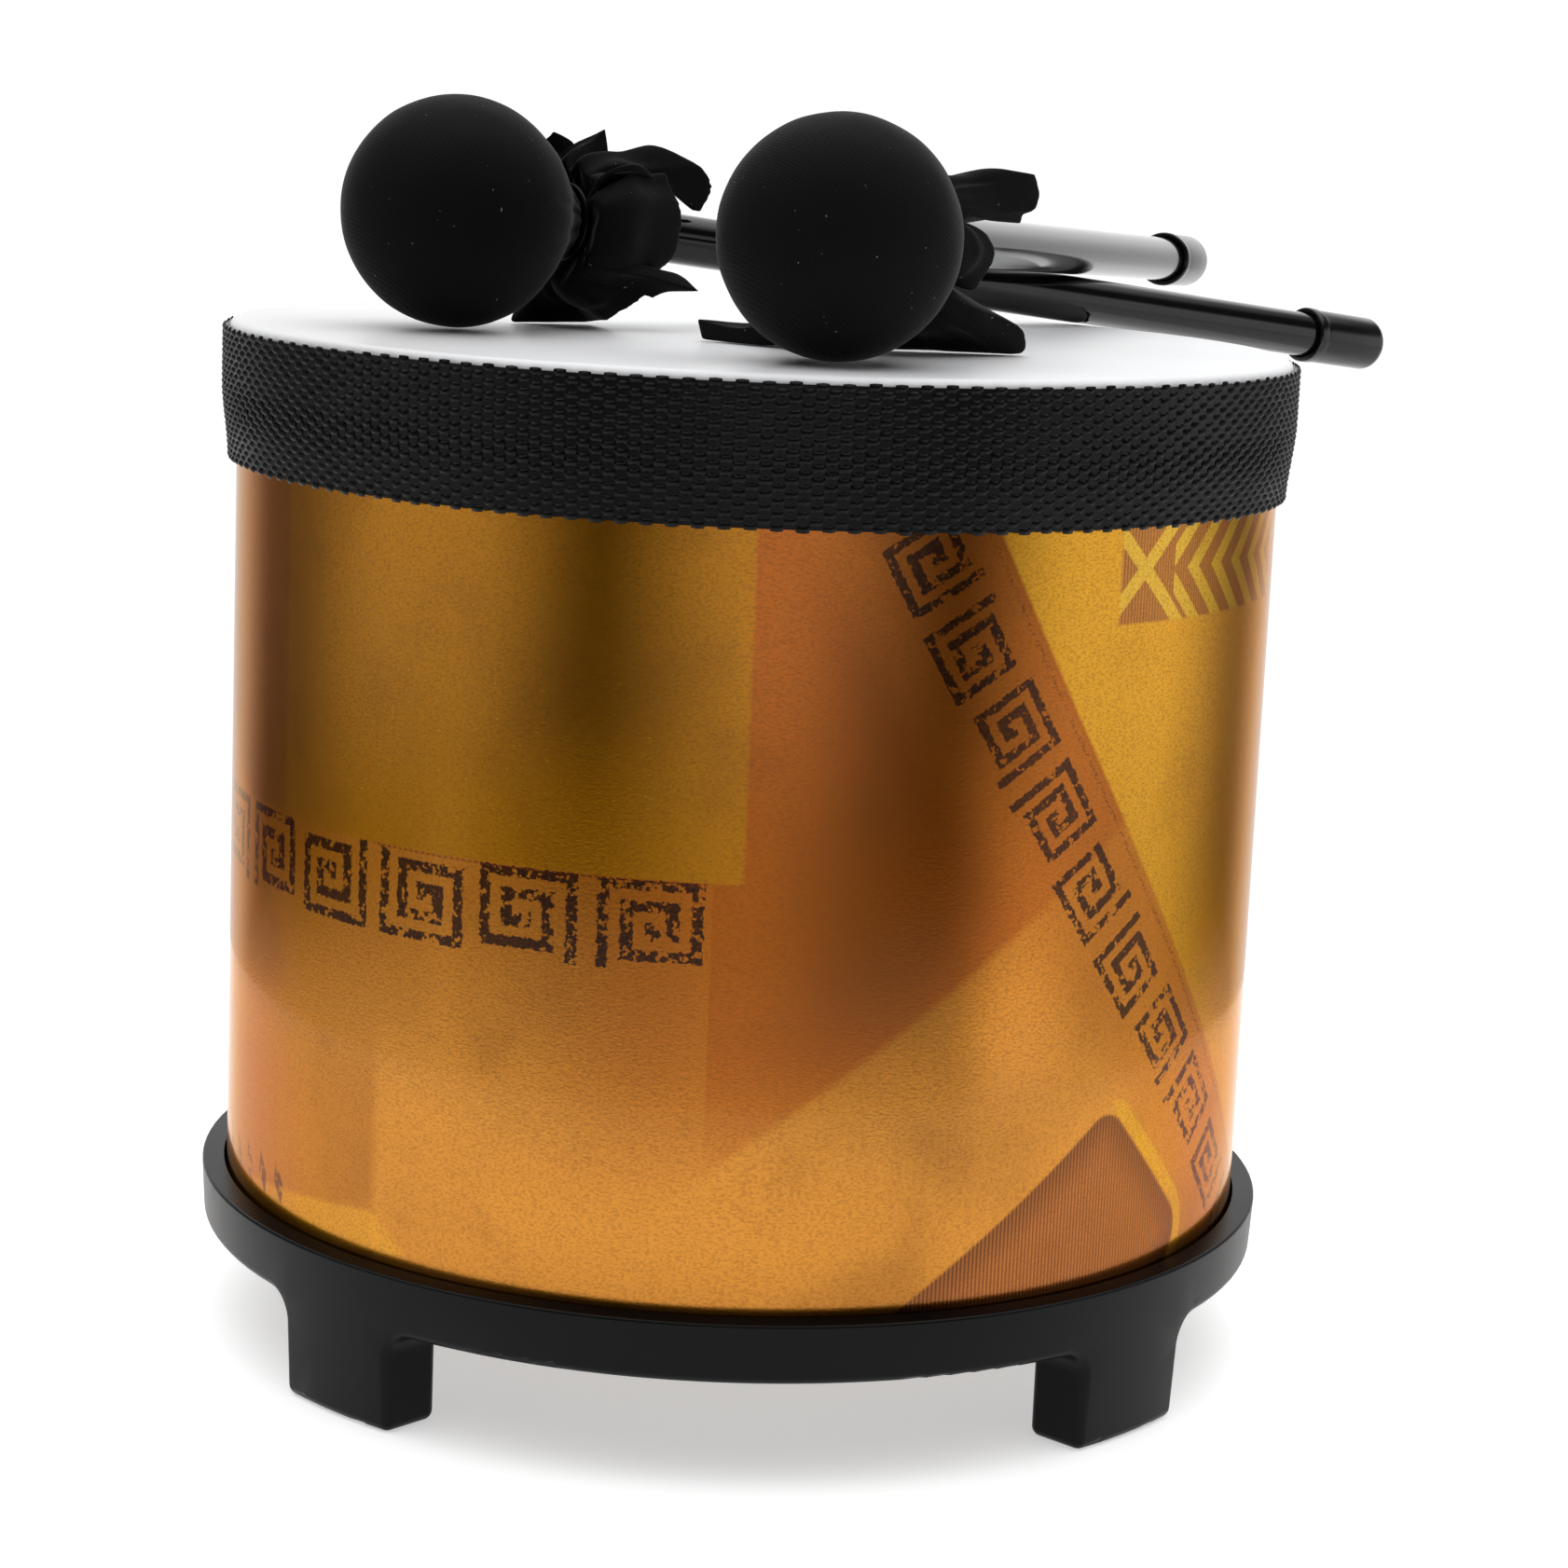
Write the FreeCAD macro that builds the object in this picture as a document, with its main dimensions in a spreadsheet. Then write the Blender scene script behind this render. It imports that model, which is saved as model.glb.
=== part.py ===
import FreeCAD, Part
import Sketcher
import math
import os

# A small floor drum on a footed ring, with its pair of mallets lying on the head.
# Origin: on the drum's axis, on the floor. +Z is up, and the feet stand at 45 degrees to X and Y.

sizes = {
    # base ring: one moulding with its feet and the channel that takes the shell
    "FootHeight": 19.5,
    "RingHeight": 11.5,
    "RingLedgeWidth": 4.3,
    "RingInnerWall": 3.0,
    "FootDraft": 1.6,
    "RingTopEdgeRadius": 0.6,
    "FootCount": 4,
    "FootWidth": 29.0,
    "FootFlareRadius": 5.0,
    "FootEdgeRadius": 2.0,
    "ChannelDepth": 6.0,
    "ChannelGap": 0.6,
    "CutOverrun": 12.0,
    # shell tube and its printed film
    "ShellRadius": 102.1,
    "ShellWall": 5.0,
    "BearingBevel": 1.2,
    "WrapThickness": 0.25,
    "WrapTuck": 5.0,
    "GlueGap": 0.05,
    # head, hoop and webbing
    "DrumHeight": 198.5,
    "HeadThickness": 0.35,
    "HeadEdgeRadius": 1.8,
    "HoopThickness": 1.5,
    "HoopHeight": 11.5,
    "SkirtHeight": 24.0,
    "BandThickness": 1.35,
    "BandHeight": 25.5,
    "BandDrop": 1.2,
    "BandLapLength": 22.0,
    # one mallet, from its ball to its grip cap
    "BallRadius": 21.87,
    "BallDrop": 1.1,
    "CoreRadius": 20.0,
    "ShaftRadius": 5.0,
    "ShaftWall": 1.0,
    "ShaftSeat": 11.0,
    "MalletLength": 258.0,
    "GripRadius": 6.0,
    "GripLength": 23.0,
    "GripWall": 2.0,
    "GripEndRadius": 3.0,
    "GripLipRadius": 6.25,
    "GripLipLength": 2.8,
    "NeckStart": 13.5,
    "NeckStartRadius": 15.5,
    "NeckEnd": 24.5,
    "NeckEndRadius": 6.9,
    "SleeveRadius": 6.1,
    "TieThickness": 1.8,
    "TailStartRadius": 6.6,
    "TailRadius": 21.0,
    "LeftTailLength": 30.5,
    "RightTailLength": 25.0,
    # where the mallets lie on the head
    "RestGap": 0.3,
    "LeftTurn": 36.3,
    "RightTurn": 67.8,
}

# where the balls' centres are over the head, along X and Y, as shares of the shell's radius
leftBallShares = [-0.585, -0.2115]
rightBallShares = [0.1, -0.723]

# how far each fold of a cover's free cloth stands out, going round from the top over the right,
# as shares of the tail's radius, and how far out the valleys are, as a share of the folds beside them
leftFoldShares = [0.90, 0.86, 0.86, 1.15, 1.05, 0.80]
rightFoldShares = [0.66, 1.26, 1.24, 1.05, 1.60, 0.70]
valleyShare = 0.62

# stations along the tail: place along its length, and how far it has opened there
tailPlaceShares = [0.0, 0.45, 1.0]
tailOpeningShares = [0.0, 0.62, 1.0]

doc = FreeCAD.newDocument("FloorDrum")
sheet = doc.addObject("Spreadsheet::Sheet", "Sizes")
for row, (alias, value) in enumerate(sizes.items(), start=1):
    cell = "B%d" % row
    sheet.set("A%d" % row, alias)
    sheet.set(cell, str(value))
    sheet.setAlias(cell, alias)
doc.recompute()

pieces = []


def size(alias):
    return float(sheet.get(alias))


def bound(text):
    """Point every size name in an expression at the sheet."""
    words = text.split(" ")
    return " ".join("Sizes." + word if word in sizes else word for word in words)


def worth(text):
    """The value of an expression of size names."""
    return float(sheet.evalExpression(bound(text)))


def keep(piece, label):
    """Name a finished sub-part and put it on the list that is written out."""
    piece.Label = label
    pieces.append(piece)
    return piece


# Sketches, revolved profiles and fillets

def originItem(body, role):
    return [item for item in body.Origin.OriginFeatures if item.Role == role][0]


def pin(sketch, corner, direction, text):
    """Tie one corner of an outline to an expression, or to the axis where it is zero."""
    if text == "0":
        axis = -2 if direction == "DistanceX" else -1
        sketch.addConstraint(Sketcher.Constraint("PointOnObject", corner, 1, axis))
        return
    pinned = Sketcher.Constraint(direction, -1, 1, corner, 1, worth(text))
    index = sketch.addConstraint(pinned)
    sketch.setExpression("Constraints[%d]" % index, bound(text))


def outlineSketch(body, name, plane, corners):
    """A closed outline of straight lines, each corner given by two expressions."""
    sketch = body.newObject("Sketcher::SketchObject", name)
    sketch.AttachmentSupport = (originItem(body, plane), [""])
    sketch.MapMode = "FlatFace"
    count = len(corners)
    spots = [FreeCAD.Vector(worth(across), worth(up), 0) for across, up in corners]
    for i in range(count):
        sketch.addGeometry(Part.LineSegment(spots[i], spots[(i + 1) % count]), False)
    for i in range(count):
        sketch.addConstraint(Sketcher.Constraint("Coincident", i, 2, (i + 1) % count, 1))
    for i, (across, up) in enumerate(corners):
        pin(sketch, i, "DistanceX", across)
        pin(sketch, i, "DistanceY", up)
    return sketch


def revolvedBody(name, corners):
    """A body turned about Z from an outline of radius and height."""
    body = doc.addObject("PartDesign::Body", name)
    sketch = outlineSketch(body, name + "_section", "XZ_Plane", corners)
    turned = body.newObject("PartDesign::Revolution", name + "_turned")
    turned.Profile = sketch
    turned.ReferenceAxis = (sketch, ["V_Axis"])
    turned.Angle = 360.0
    doc.recompute()
    return body


def edgesWhere(shape, wanted):
    return ["Edge%d" % (i + 1) for i, edge in enumerate(shape.Edges) if wanted(edge)]


def rounded(body, name, radius, wanted):
    """Round the edges of the body's last feature that a test picks."""
    base = body.Tip
    names = edgesWhere(base.Shape, wanted)
    fillet = body.newObject("PartDesign::Fillet", name)
    fillet.Base = (base, names)
    fillet.setExpression("Radius", bound(radius))
    doc.recompute()
    return fillet


def reach(edge):
    """How far the middle of an edge is from the Z axis."""
    middle = edge.valueAt((edge.FirstParameter + edge.LastParameter) / 2)
    return math.hypot(middle.x, middle.y)


def circleAt(radius, height):
    """A test for the circular edge of one radius at one height."""
    near = size("GlueGap") / 5

    def wanted(edge):
        box = edge.BoundBox
        level = abs(box.ZMin - height) < near and abs(box.ZMax - height) < near
        return level and abs(reach(edge) - radius) < near
    return wanted


# The drum

ringTop = "FootHeight + RingHeight"
ringOuter = "ShellRadius + GlueGap + WrapThickness + ChannelGap + RingLedgeWidth"
ringBore = "ShellRadius - ShellWall - ChannelGap - RingInnerWall"
footOuter = ringOuter + " - FootDraft"
channelFloor = "FootHeight + RingHeight - ChannelDepth"
wrapRadius = "ShellRadius + GlueGap + WrapThickness"
headUnder = "DrumHeight - HeadThickness"
hoopInner = "ShellRadius + GlueGap"
hoopOuter = "ShellRadius + GlueGap + HoopThickness"
hoopTop = "DrumHeight - HeadThickness - GlueGap"
hoopBottom = "DrumHeight - HeadThickness - GlueGap - HoopHeight"
foldOuter = "min( HeadEdgeRadius ; HoopThickness * 0.95 + GlueGap + HeadThickness )"
bandTop = "DrumHeight - BandDrop"
bandBottom = "DrumHeight - BandDrop - BandHeight"


def baseRing():
    """The footed ring: turned in full, then cut away between the feet."""
    channelOuter = wrapRadius + " + ChannelGap"
    channelInner = "ShellRadius - ShellWall - ChannelGap"
    body = revolvedBody("base_ring", [
        (ringBore, "0"),
        (footOuter, "0"),
        (ringOuter, ringTop),
        (channelOuter, ringTop),
        (channelOuter, channelFloor),
        (channelInner, channelFloor),
        (channelInner, ringTop),
        (ringBore, ringTop),
    ])
    half = "( 180 deg / FootCount )"
    side = "cos" + half + " * ( {0} ) + sin" + half + " * FootWidth / 2"
    rise = "sin" + half + " * ( {0} ) - cos" + half + " * FootWidth / 2"
    inward = ringBore + " - CutOverrun"
    outward = ringOuter + " + CutOverrun"
    beyond = ringOuter + " + CutOverrun * 2"
    gap = outlineSketch(body, "foot_gap", "XY_Plane", [
        (side.format(inward), "- ( " + rise.format(inward) + " )"),
        (side.format(outward), "- ( " + rise.format(outward) + " )"),
        (beyond, "- ( " + rise.format(outward) + " )"),
        (beyond, rise.format(outward)),
        (side.format(outward), rise.format(outward)),
        (side.format(inward), rise.format(inward)),
    ])
    cut = body.newObject("PartDesign::Pocket", "foot_gap_cut")
    cut.Profile = gap
    cut.Reversed = True
    cut.setExpression("Length", bound("FootHeight"))
    doc.recompute()
    ring = body.newObject("PartDesign::PolarPattern", "foot_gaps")
    ring.Originals = [cut]
    ring.Axis = (originItem(body, "Z_Axis"), [""])
    ring.Angle = 360.0
    ring.setExpression("Occurrences", bound("FootCount"))
    body.Tip = ring
    doc.recompute()
    flareFeet(body)
    return keep(body, "base_ring")


def flareFeet(body):
    """Blend the feet into the ring and round every edge that a hand or a floor meets."""
    height = size("FootHeight")
    inner, outer = worth(ringBore), worth(footOuter)
    near = size("GlueGap") / 5

    def root(edge):
        ends = [math.hypot(vertex.X, vertex.Y) for vertex in edge.Vertexes]
        level = all(abs(vertex.Z - height) < near for vertex in edge.Vertexes)
        return level and max(ends) - min(ends) > near

    def rim(edge):
        box = edge.BoundBox
        if abs(box.ZMax) < near:
            return True
        skin = reach(edge) > outer - near or abs(reach(edge) - inner) < near
        return skin and box.ZMax < height + near

    rounded(body, "foot_flares", "FootFlareRadius", root)
    rounded(body, "foot_edges", "FootEdgeRadius", rim)
    edge = circleAt(worth(ringOuter), worth(ringTop))
    rounded(body, "ring_top_edge", "RingTopEdgeRadius", edge)


def drumShell():
    """The tube, with its top bevelled inside and out to a bearing edge."""
    inner = "ShellRadius - ShellWall"
    body = revolvedBody("drum_shell", [
        (inner, channelFloor),
        ("ShellRadius", channelFloor),
        ("ShellRadius", headUnder + " - BearingBevel"),
        ("ShellRadius - BearingBevel", headUnder),
        (inner + " + BearingBevel", headUnder),
        (inner, headUnder + " - BearingBevel"),
    ])
    return keep(body, "drum_shell")


def shellWrap():
    """The printed film round the tube, tucked into the ring and under the head's skirt."""
    low = ringTop + " - WrapTuck"
    high = hoopBottom + " - GlueGap"
    body = revolvedBody("shell_wrap", [
        ("ShellRadius + GlueGap", low),
        (wrapRadius, low),
        (wrapRadius, high),
        ("ShellRadius + GlueGap", high),
    ])
    return keep(body, "shell_wrap")


def headHoop():
    """The flat hoop that the head is folded over."""
    body = revolvedBody("head_hoop", [
        (hoopInner, hoopBottom),
        (hoopOuter, hoopBottom),
        (hoopOuter, hoopTop),
        (hoopInner, hoopTop),
    ])
    edge = circleAt(worth(hoopOuter), worth(hoopTop))
    rounded(body, "hoop_edge", foldOuter + " - HeadThickness - GlueGap", edge)
    return keep(body, "head_hoop")


def drumhead():
    """The membrane, with its skirt over the hoop and down the film."""
    over = hoopOuter + " + GlueGap"
    down = wrapRadius + " + GlueGap"
    low = "DrumHeight - SkirtHeight"
    body = revolvedBody("drumhead", [
        ("0", headUnder),
        (over, headUnder),
        (over, hoopBottom),
        (down, low),
        (down + " + HeadThickness", low),
        (over + " + HeadThickness", hoopBottom),
        (over + " + HeadThickness", "DrumHeight"),
        ("0", "DrumHeight"),
    ])
    inside = circleAt(worth(over), worth(headUnder))
    rounded(body, "fold_inside", foldOuter + " - HeadThickness", inside)
    outside = circleAt(worth(over + " + HeadThickness"), size("DrumHeight"))
    rounded(body, "fold_outside", foldOuter, outside)
    return keep(body, "drumhead")


def webbingBand():
    """The woven tape over the skirt, its end lapped over its start at the back."""
    upper = hoopOuter + " + GlueGap * 2 + HeadThickness"
    lower = wrapRadius + " + GlueGap * 2 + HeadThickness"
    body = revolvedBody("webbing_band", [
        (lower, bandBottom),
        (lower + " + BandThickness", bandBottom),
        (upper + " + BandThickness", hoopBottom),
        (upper + " + BandThickness", bandTop),
        (upper, bandTop),
        (upper, hoopBottom),
    ])
    lap = outlineSketch(body, "lap_section", "XZ_Plane", [
        (lower + " + BandThickness - GlueGap", bandBottom),
        (lower + " + BandThickness * 2", bandBottom),
        (upper + " + BandThickness * 2", hoopBottom),
        (upper + " + BandThickness * 2", bandTop),
        (upper + " + BandThickness - GlueGap", bandTop),
        (upper + " + BandThickness - GlueGap", hoopBottom),
    ])
    turned = body.newObject("PartDesign::Revolution", "lap_turned")
    turned.Profile = lap
    turned.ReferenceAxis = (lap, ["V_Axis"])
    turned.Midplane = True
    turned.setExpression("Angle", bound("BandLapLength / ShellRadius * 180 deg / pi"))
    doc.recompute()
    body.Placement = FreeCAD.Placement(FreeCAD.Vector(), FreeCAD.Rotation(90, 0, 0))
    return keep(body, "webbing_band")


# Where a mallet lies

def direction(turn, dip):
    """The way a shaft points: turned about Z from +X, and dipped below level."""
    level = math.cos(dip)
    return FreeCAD.Vector(level * math.cos(turn), level * math.sin(turn), -math.sin(dip))


def shaftStart(x, y, dip):
    """The point on the shaft's axis over the ball's centre, with the ball on the head."""
    rest = size("DrumHeight") + size("RestGap") + size("BallRadius")
    return FreeCAD.Vector(x, y, rest + size("BallDrop") * math.cos(dip))


def dipOverRim(x, y, turn):
    """The dip at which a shaft that starts in its ball rests on the rim of the head."""
    fold = worth(foldOuter)
    foldCentre = worth(hoopOuter + " + GlueGap + HeadThickness") - fold
    along = x * math.cos(turn) + y * math.sin(turn)
    across = y * math.cos(turn) - x * math.sin(turn)
    distance = math.sqrt(foldCentre ** 2 - across ** 2) - along
    clear = fold + size("ShaftRadius") + size("RestGap")
    dip = 0.0
    for step in range(5):
        drop = shaftStart(x, y, dip).z - size("DrumHeight") + fold
        dip = math.atan2(drop, distance) - math.asin(clear / math.hypot(drop, distance))
    return dip


def dipOverShaft(x, y, turn, otherStart, otherWay):
    """The dip at which a shaft lies across another one that it rests on."""
    wanted = size("ShaftRadius") * 2 + size("RestGap")
    low, high = math.radians(-30), math.radians(30)
    for step in range(50):
        dip = (low + high) / 2
        normal = direction(turn, dip).cross(otherWay)
        normal = normal * math.copysign(1 / normal.Length, normal.z)
        above = (shaftStart(x, y, dip) - otherStart).dot(normal)
        low, high = (dip, high) if above > wanted else (low, dip)
    return low


def lying(start, turn, dip):
    """The placement of a mallet that is modelled along +Z with its upper side towards +X."""
    way = direction(turn, dip)
    up = direction(turn, dip - math.pi / 2)
    return FreeCAD.Placement(start, FreeCAD.Rotation(up, way.cross(up), way, "ZXY"))


# The pieces of a mallet, modelled along +Z from the middle of the ball

def roundBar(name, radius, low, high):
    bar = doc.addObject("Part::Cylinder", name)
    bar.setExpression("Radius", bound(radius))
    bar.setExpression("Height", bound("( " + high + " ) - ( " + low + " )"))
    bar.setExpression("Placement.Base.z", bound(low))
    return bar


def cutFrom(name, base, tool):
    cut = doc.addObject("Part::Cut", name)
    cut.Base = base
    cut.Tool = tool
    return cut


def malletCore(side):
    """The firm ball inside, bored for the shaft."""
    ball = doc.addObject("Part::Sphere", side + "_core_ball")
    ball.setExpression("Radius", bound("CoreRadius"))
    bore = roundBar(side + "_core_bore", "ShaftRadius + GlueGap", "- ShaftSeat - GlueGap",
                    "CoreRadius + CutOverrun")
    return cutFrom(side + "_core", ball, bore)


def malletCover(side):
    """The padded cloth round the core, drawn in to a sleeve on the shaft."""
    ball = doc.addObject("Part::Sphere", side + "_cover_ball")
    ball.setExpression("Radius", bound("BallRadius"))
    ball.setExpression("Placement.Base.x", bound("- BallDrop"))
    neck = doc.addObject("Part::Cone", side + "_cover_neck")
    neck.setExpression("Radius1", bound("NeckStartRadius"))
    neck.setExpression("Radius2", bound("NeckEndRadius"))
    neck.setExpression("Height", bound("NeckEnd - NeckStart"))
    neck.setExpression("Placement.Base.z", bound("NeckStart"))
    sleeve = roundBar(side + "_cover_sleeve", "SleeveRadius", "NeckStart", "NeckEnd + TieThickness")
    whole = doc.addObject("Part::MultiFuse", side + "_cover_whole")
    whole.Shapes = [ball, neck, sleeve]
    room = doc.addObject("Part::Sphere", side + "_cover_room")
    room.setExpression("Radius", bound("CoreRadius + GlueGap"))
    bore = roundBar(side + "_cover_bore", "ShaftRadius + GlueGap", "0", "NeckEnd + CutOverrun")
    inside = doc.addObject("Part::MultiFuse", side + "_cover_inside")
    inside.Shapes = [room, bore]
    return cutFrom(side + "_cover", whole, inside)


def malletTie(side):
    """The elastic round the neck of the cover."""
    body = doc.addObject("PartDesign::Body", side + "_tie")
    ring = body.newObject("PartDesign::AdditiveTorus", side + "_tie_ring")
    ring.setExpression("Radius1", bound("SleeveRadius + GlueGap + TieThickness / 2"))
    ring.setExpression("Radius2", bound("TieThickness / 2"))
    ring.setExpression("Placement.Base.z", bound("NeckEnd + GlueGap + TieThickness / 2"))
    return body


def malletShaft(side):
    """The tube from inside the core to inside the cap."""
    end = "MalletLength - GripWall"
    outside = roundBar(side + "_shaft_outside", "ShaftRadius", "- ShaftSeat", end)
    inside = roundBar(side + "_shaft_inside", "ShaftRadius - ShaftWall", "- ShaftSeat - CutOverrun",
                      end + " + CutOverrun")
    return cutFrom(side + "_shaft", outside, inside)


def malletCap(side):
    """The grip cap, with a lip round its mouth and a rounded end."""
    mouth = "MalletLength - GripLength"
    bore = "ShaftRadius + GlueGap"
    body = revolvedBody(side + "_cap", [
        ("0", "MalletLength - GripWall + GlueGap"),
        (bore, "MalletLength - GripWall + GlueGap"),
        (bore, mouth),
        ("GripLipRadius", mouth),
        ("GripLipRadius", mouth + " + GripLipLength"),
        ("GripRadius", mouth + " + GripLipLength"),
        ("GripRadius", "MalletLength"),
        ("0", "MalletLength"),
    ])
    rounded(body, side + "_cap_end", "GripEndRadius", circleAt(size("GripRadius"), size("MalletLength")))
    return body


def foldedRing(radius, depth, shares, height):
    """A closed ring of folds: a crown at each share and a valley between two crowns."""
    count = len(shares)
    step = 2 * math.pi / count

    def spot(turn, reach):
        return FreeCAD.Vector(reach * math.cos(turn), reach * math.sin(turn), height)

    def crown(index):
        share = shares[index % count]
        return radius * (1 - depth * (1 - share))

    def valley(index):
        pair = (crown(index) + crown(index + 1)) / 2
        return pair * (1 - depth * (1 - valleyShare))

    edges = []
    for i in range(count):
        before = (crown(i) + valley(i - 1)) / 2
        after = (crown(i) + valley(i)) / 2
        following = (crown(i + 1) + valley(i)) / 2
        turn = i * step
        start = spot(turn - step / 4, before)
        end = spot(turn + step / 4, after)
        edges.append(Part.Arc(start, spot(turn, crown(i)), end).toShape())
        start = spot(turn + step * 3 / 4, following)
        edges.append(Part.Arc(end, spot(turn + step / 2, valley(i)), start).toShape())
    return edges


def malletTail(side, shares, length, placement):
    """The cover's free cloth beyond the tie, opened in folds and lying on the head."""
    low = size("NeckEnd") + size("TieThickness") + size("GlueGap") * 2
    narrow, wide = size("TailStartRadius"), size("TailRadius")
    rings = []
    for place, opening in zip(tailPlaceShares, tailOpeningShares):
        radius = narrow + (wide - narrow) * opening
        edges = foldedRing(radius, opening, shares, low + place * size(length))
        rings.append(Part.Wire(edges))
    cloth = Part.makeLoft(rings, True, False)
    bore = Part.makeCylinder(size("ShaftRadius") + size("GlueGap"), size("MalletLength"))
    cloth = cloth.cut(bore)
    floor = Part.makeBox(*[size("MalletLength")] * 3)
    level = size("DrumHeight") + size("RestGap") - size("MalletLength")
    middle = placement.Base - FreeCAD.Vector(*[size("MalletLength") / 2] * 2 + [0])
    floor.Placement = FreeCAD.Placement(FreeCAD.Vector(middle.x, middle.y, level), FreeCAD.Rotation())
    floor.Placement = placement.inverse() * floor.Placement
    tail = doc.addObject("Part::Feature", side + "_tail")
    tail.Shape = cloth.cut(floor)
    return tail


def mallet(side, shares, tailLength, placement):
    """All pieces of one mallet, laid where it rests."""
    made = {
        "core": malletCore(side),
        "cover": malletCover(side),
        "tie": malletTie(side),
        "shaft": malletShaft(side),
        "grip_cap": malletCap(side),
        "cover_tail": malletTail(side, shares, tailLength, placement),
    }
    doc.recompute()
    for name, piece in made.items():
        piece.Placement = placement * piece.Placement
        keep(piece, side + "_" + name)


def mallets():
    """The left mallet rests on the head and its rim, the right one lies across it."""
    leftX, leftY = [share * size("ShellRadius") for share in leftBallShares]
    leftTurn = math.radians(size("LeftTurn"))
    leftDip = dipOverRim(leftX, leftY, leftTurn)
    leftStart = shaftStart(leftX, leftY, leftDip)
    rightX, rightY = [share * size("ShellRadius") for share in rightBallShares]
    rightTurn = math.radians(size("RightTurn"))
    rightDip = dipOverShaft(rightX, rightY, rightTurn, leftStart, direction(leftTurn, leftDip))
    rightStart = shaftStart(rightX, rightY, rightDip)
    print("dips in degrees: left %.2f, right %.2f" % (math.degrees(leftDip), math.degrees(rightDip)))
    leftPlace = lying(leftStart, leftTurn, leftDip)
    rightPlace = lying(rightStart, rightTurn, rightDip)
    mallet("mallet_left", leftFoldShares, "LeftTailLength", leftPlace)
    mallet("mallet_right", rightFoldShares, "RightTailLength", rightPlace)


def checkPieces():
    """Stop if any object failed or any piece is not one or more valid solids."""
    for item in doc.Objects:
        if "Invalid" in item.State or "Error" in item.State:
            raise RuntimeError("%s failed to build" % item.Label)
    for piece in pieces:
        shape = piece.Shape
        if shape.isNull() or not shape.isValid() or not shape.Solids:
            raise RuntimeError("%s is not a valid solid" % piece.Label)


def writePieces():
    os.makedirs("parts", exist_ok=True)
    for piece in pieces:
        box = piece.Shape.BoundBox
        print("%-26s %9.1f mm3  x %.1f..%.1f  y %.1f..%.1f  z %.1f..%.1f" % (
            piece.Label, piece.Shape.Volume, box.XMin, box.XMax, box.YMin, box.YMax,
            box.ZMin, box.ZMax))
        piece.Shape.exportStep("parts/%s.step" % piece.Label)


baseRing()
drumShell()
shellWrap()
headHoop()
drumhead()
webbingBand()
mallets()
doc.recompute()
checkPieces()
writePieces()
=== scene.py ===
# A small floor drum with its two padded mallets lying on the head.
# Lengths are in millimetres until a mesh is made, and then in metres.

import math
import bpy
import bmesh
from mathutils import Matrix, Vector, noise


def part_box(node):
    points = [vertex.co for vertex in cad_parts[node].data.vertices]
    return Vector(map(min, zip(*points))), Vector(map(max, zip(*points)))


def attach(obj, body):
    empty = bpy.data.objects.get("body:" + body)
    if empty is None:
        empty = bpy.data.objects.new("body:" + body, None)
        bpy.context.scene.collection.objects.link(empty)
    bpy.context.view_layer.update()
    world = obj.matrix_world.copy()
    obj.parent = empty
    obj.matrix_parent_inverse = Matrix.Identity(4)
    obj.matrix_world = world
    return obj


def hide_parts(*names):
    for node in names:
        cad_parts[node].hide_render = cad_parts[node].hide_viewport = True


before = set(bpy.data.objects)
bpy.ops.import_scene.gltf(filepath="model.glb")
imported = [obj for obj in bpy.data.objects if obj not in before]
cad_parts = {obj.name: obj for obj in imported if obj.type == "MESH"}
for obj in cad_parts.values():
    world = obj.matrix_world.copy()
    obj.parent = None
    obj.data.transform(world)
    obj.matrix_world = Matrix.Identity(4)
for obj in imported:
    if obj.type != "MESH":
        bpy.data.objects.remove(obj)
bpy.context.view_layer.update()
mm = 0.001
print("frame loaded")


def newObject(name, data):
    made = bpy.data.objects.new(name, data)
    bpy.context.scene.collection.objects.link(made)
    return made


# camera, lights and floor

camera = {
    "place": (-24.98, -715.3, 244.36),
    "turnDegrees": 2.633,     # to the right of +Y
    "tiltDegrees": 10.76,     # below level
    "rollDegrees": 2.4585,
    "lens": 82.8,
}


def placeCamera():
    turn, tilt, roll = (math.radians(camera[key]) for key in ("turnDegrees", "tiltDegrees", "rollDegrees"))
    forward = Vector((math.sin(turn) * math.cos(tilt), math.cos(turn) * math.cos(tilt), -math.sin(tilt)))
    level = Vector((math.cos(turn), -math.sin(turn), 0))
    upright = level.cross(forward)
    right = level * math.cos(roll) + upright * math.sin(roll)
    up = upright * math.cos(roll) - level * math.sin(roll)
    data = bpy.data.cameras.new("camera")
    data.lens = camera["lens"]
    data.clip_start, data.clip_end = 0.01, 100
    eye = newObject("camera", data)
    eye.matrix_world = Matrix((right, up, -forward)).transposed().to_4x4()
    eye.location = Vector(camera["place"]) * mm
    bpy.context.scene.camera = eye


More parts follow.
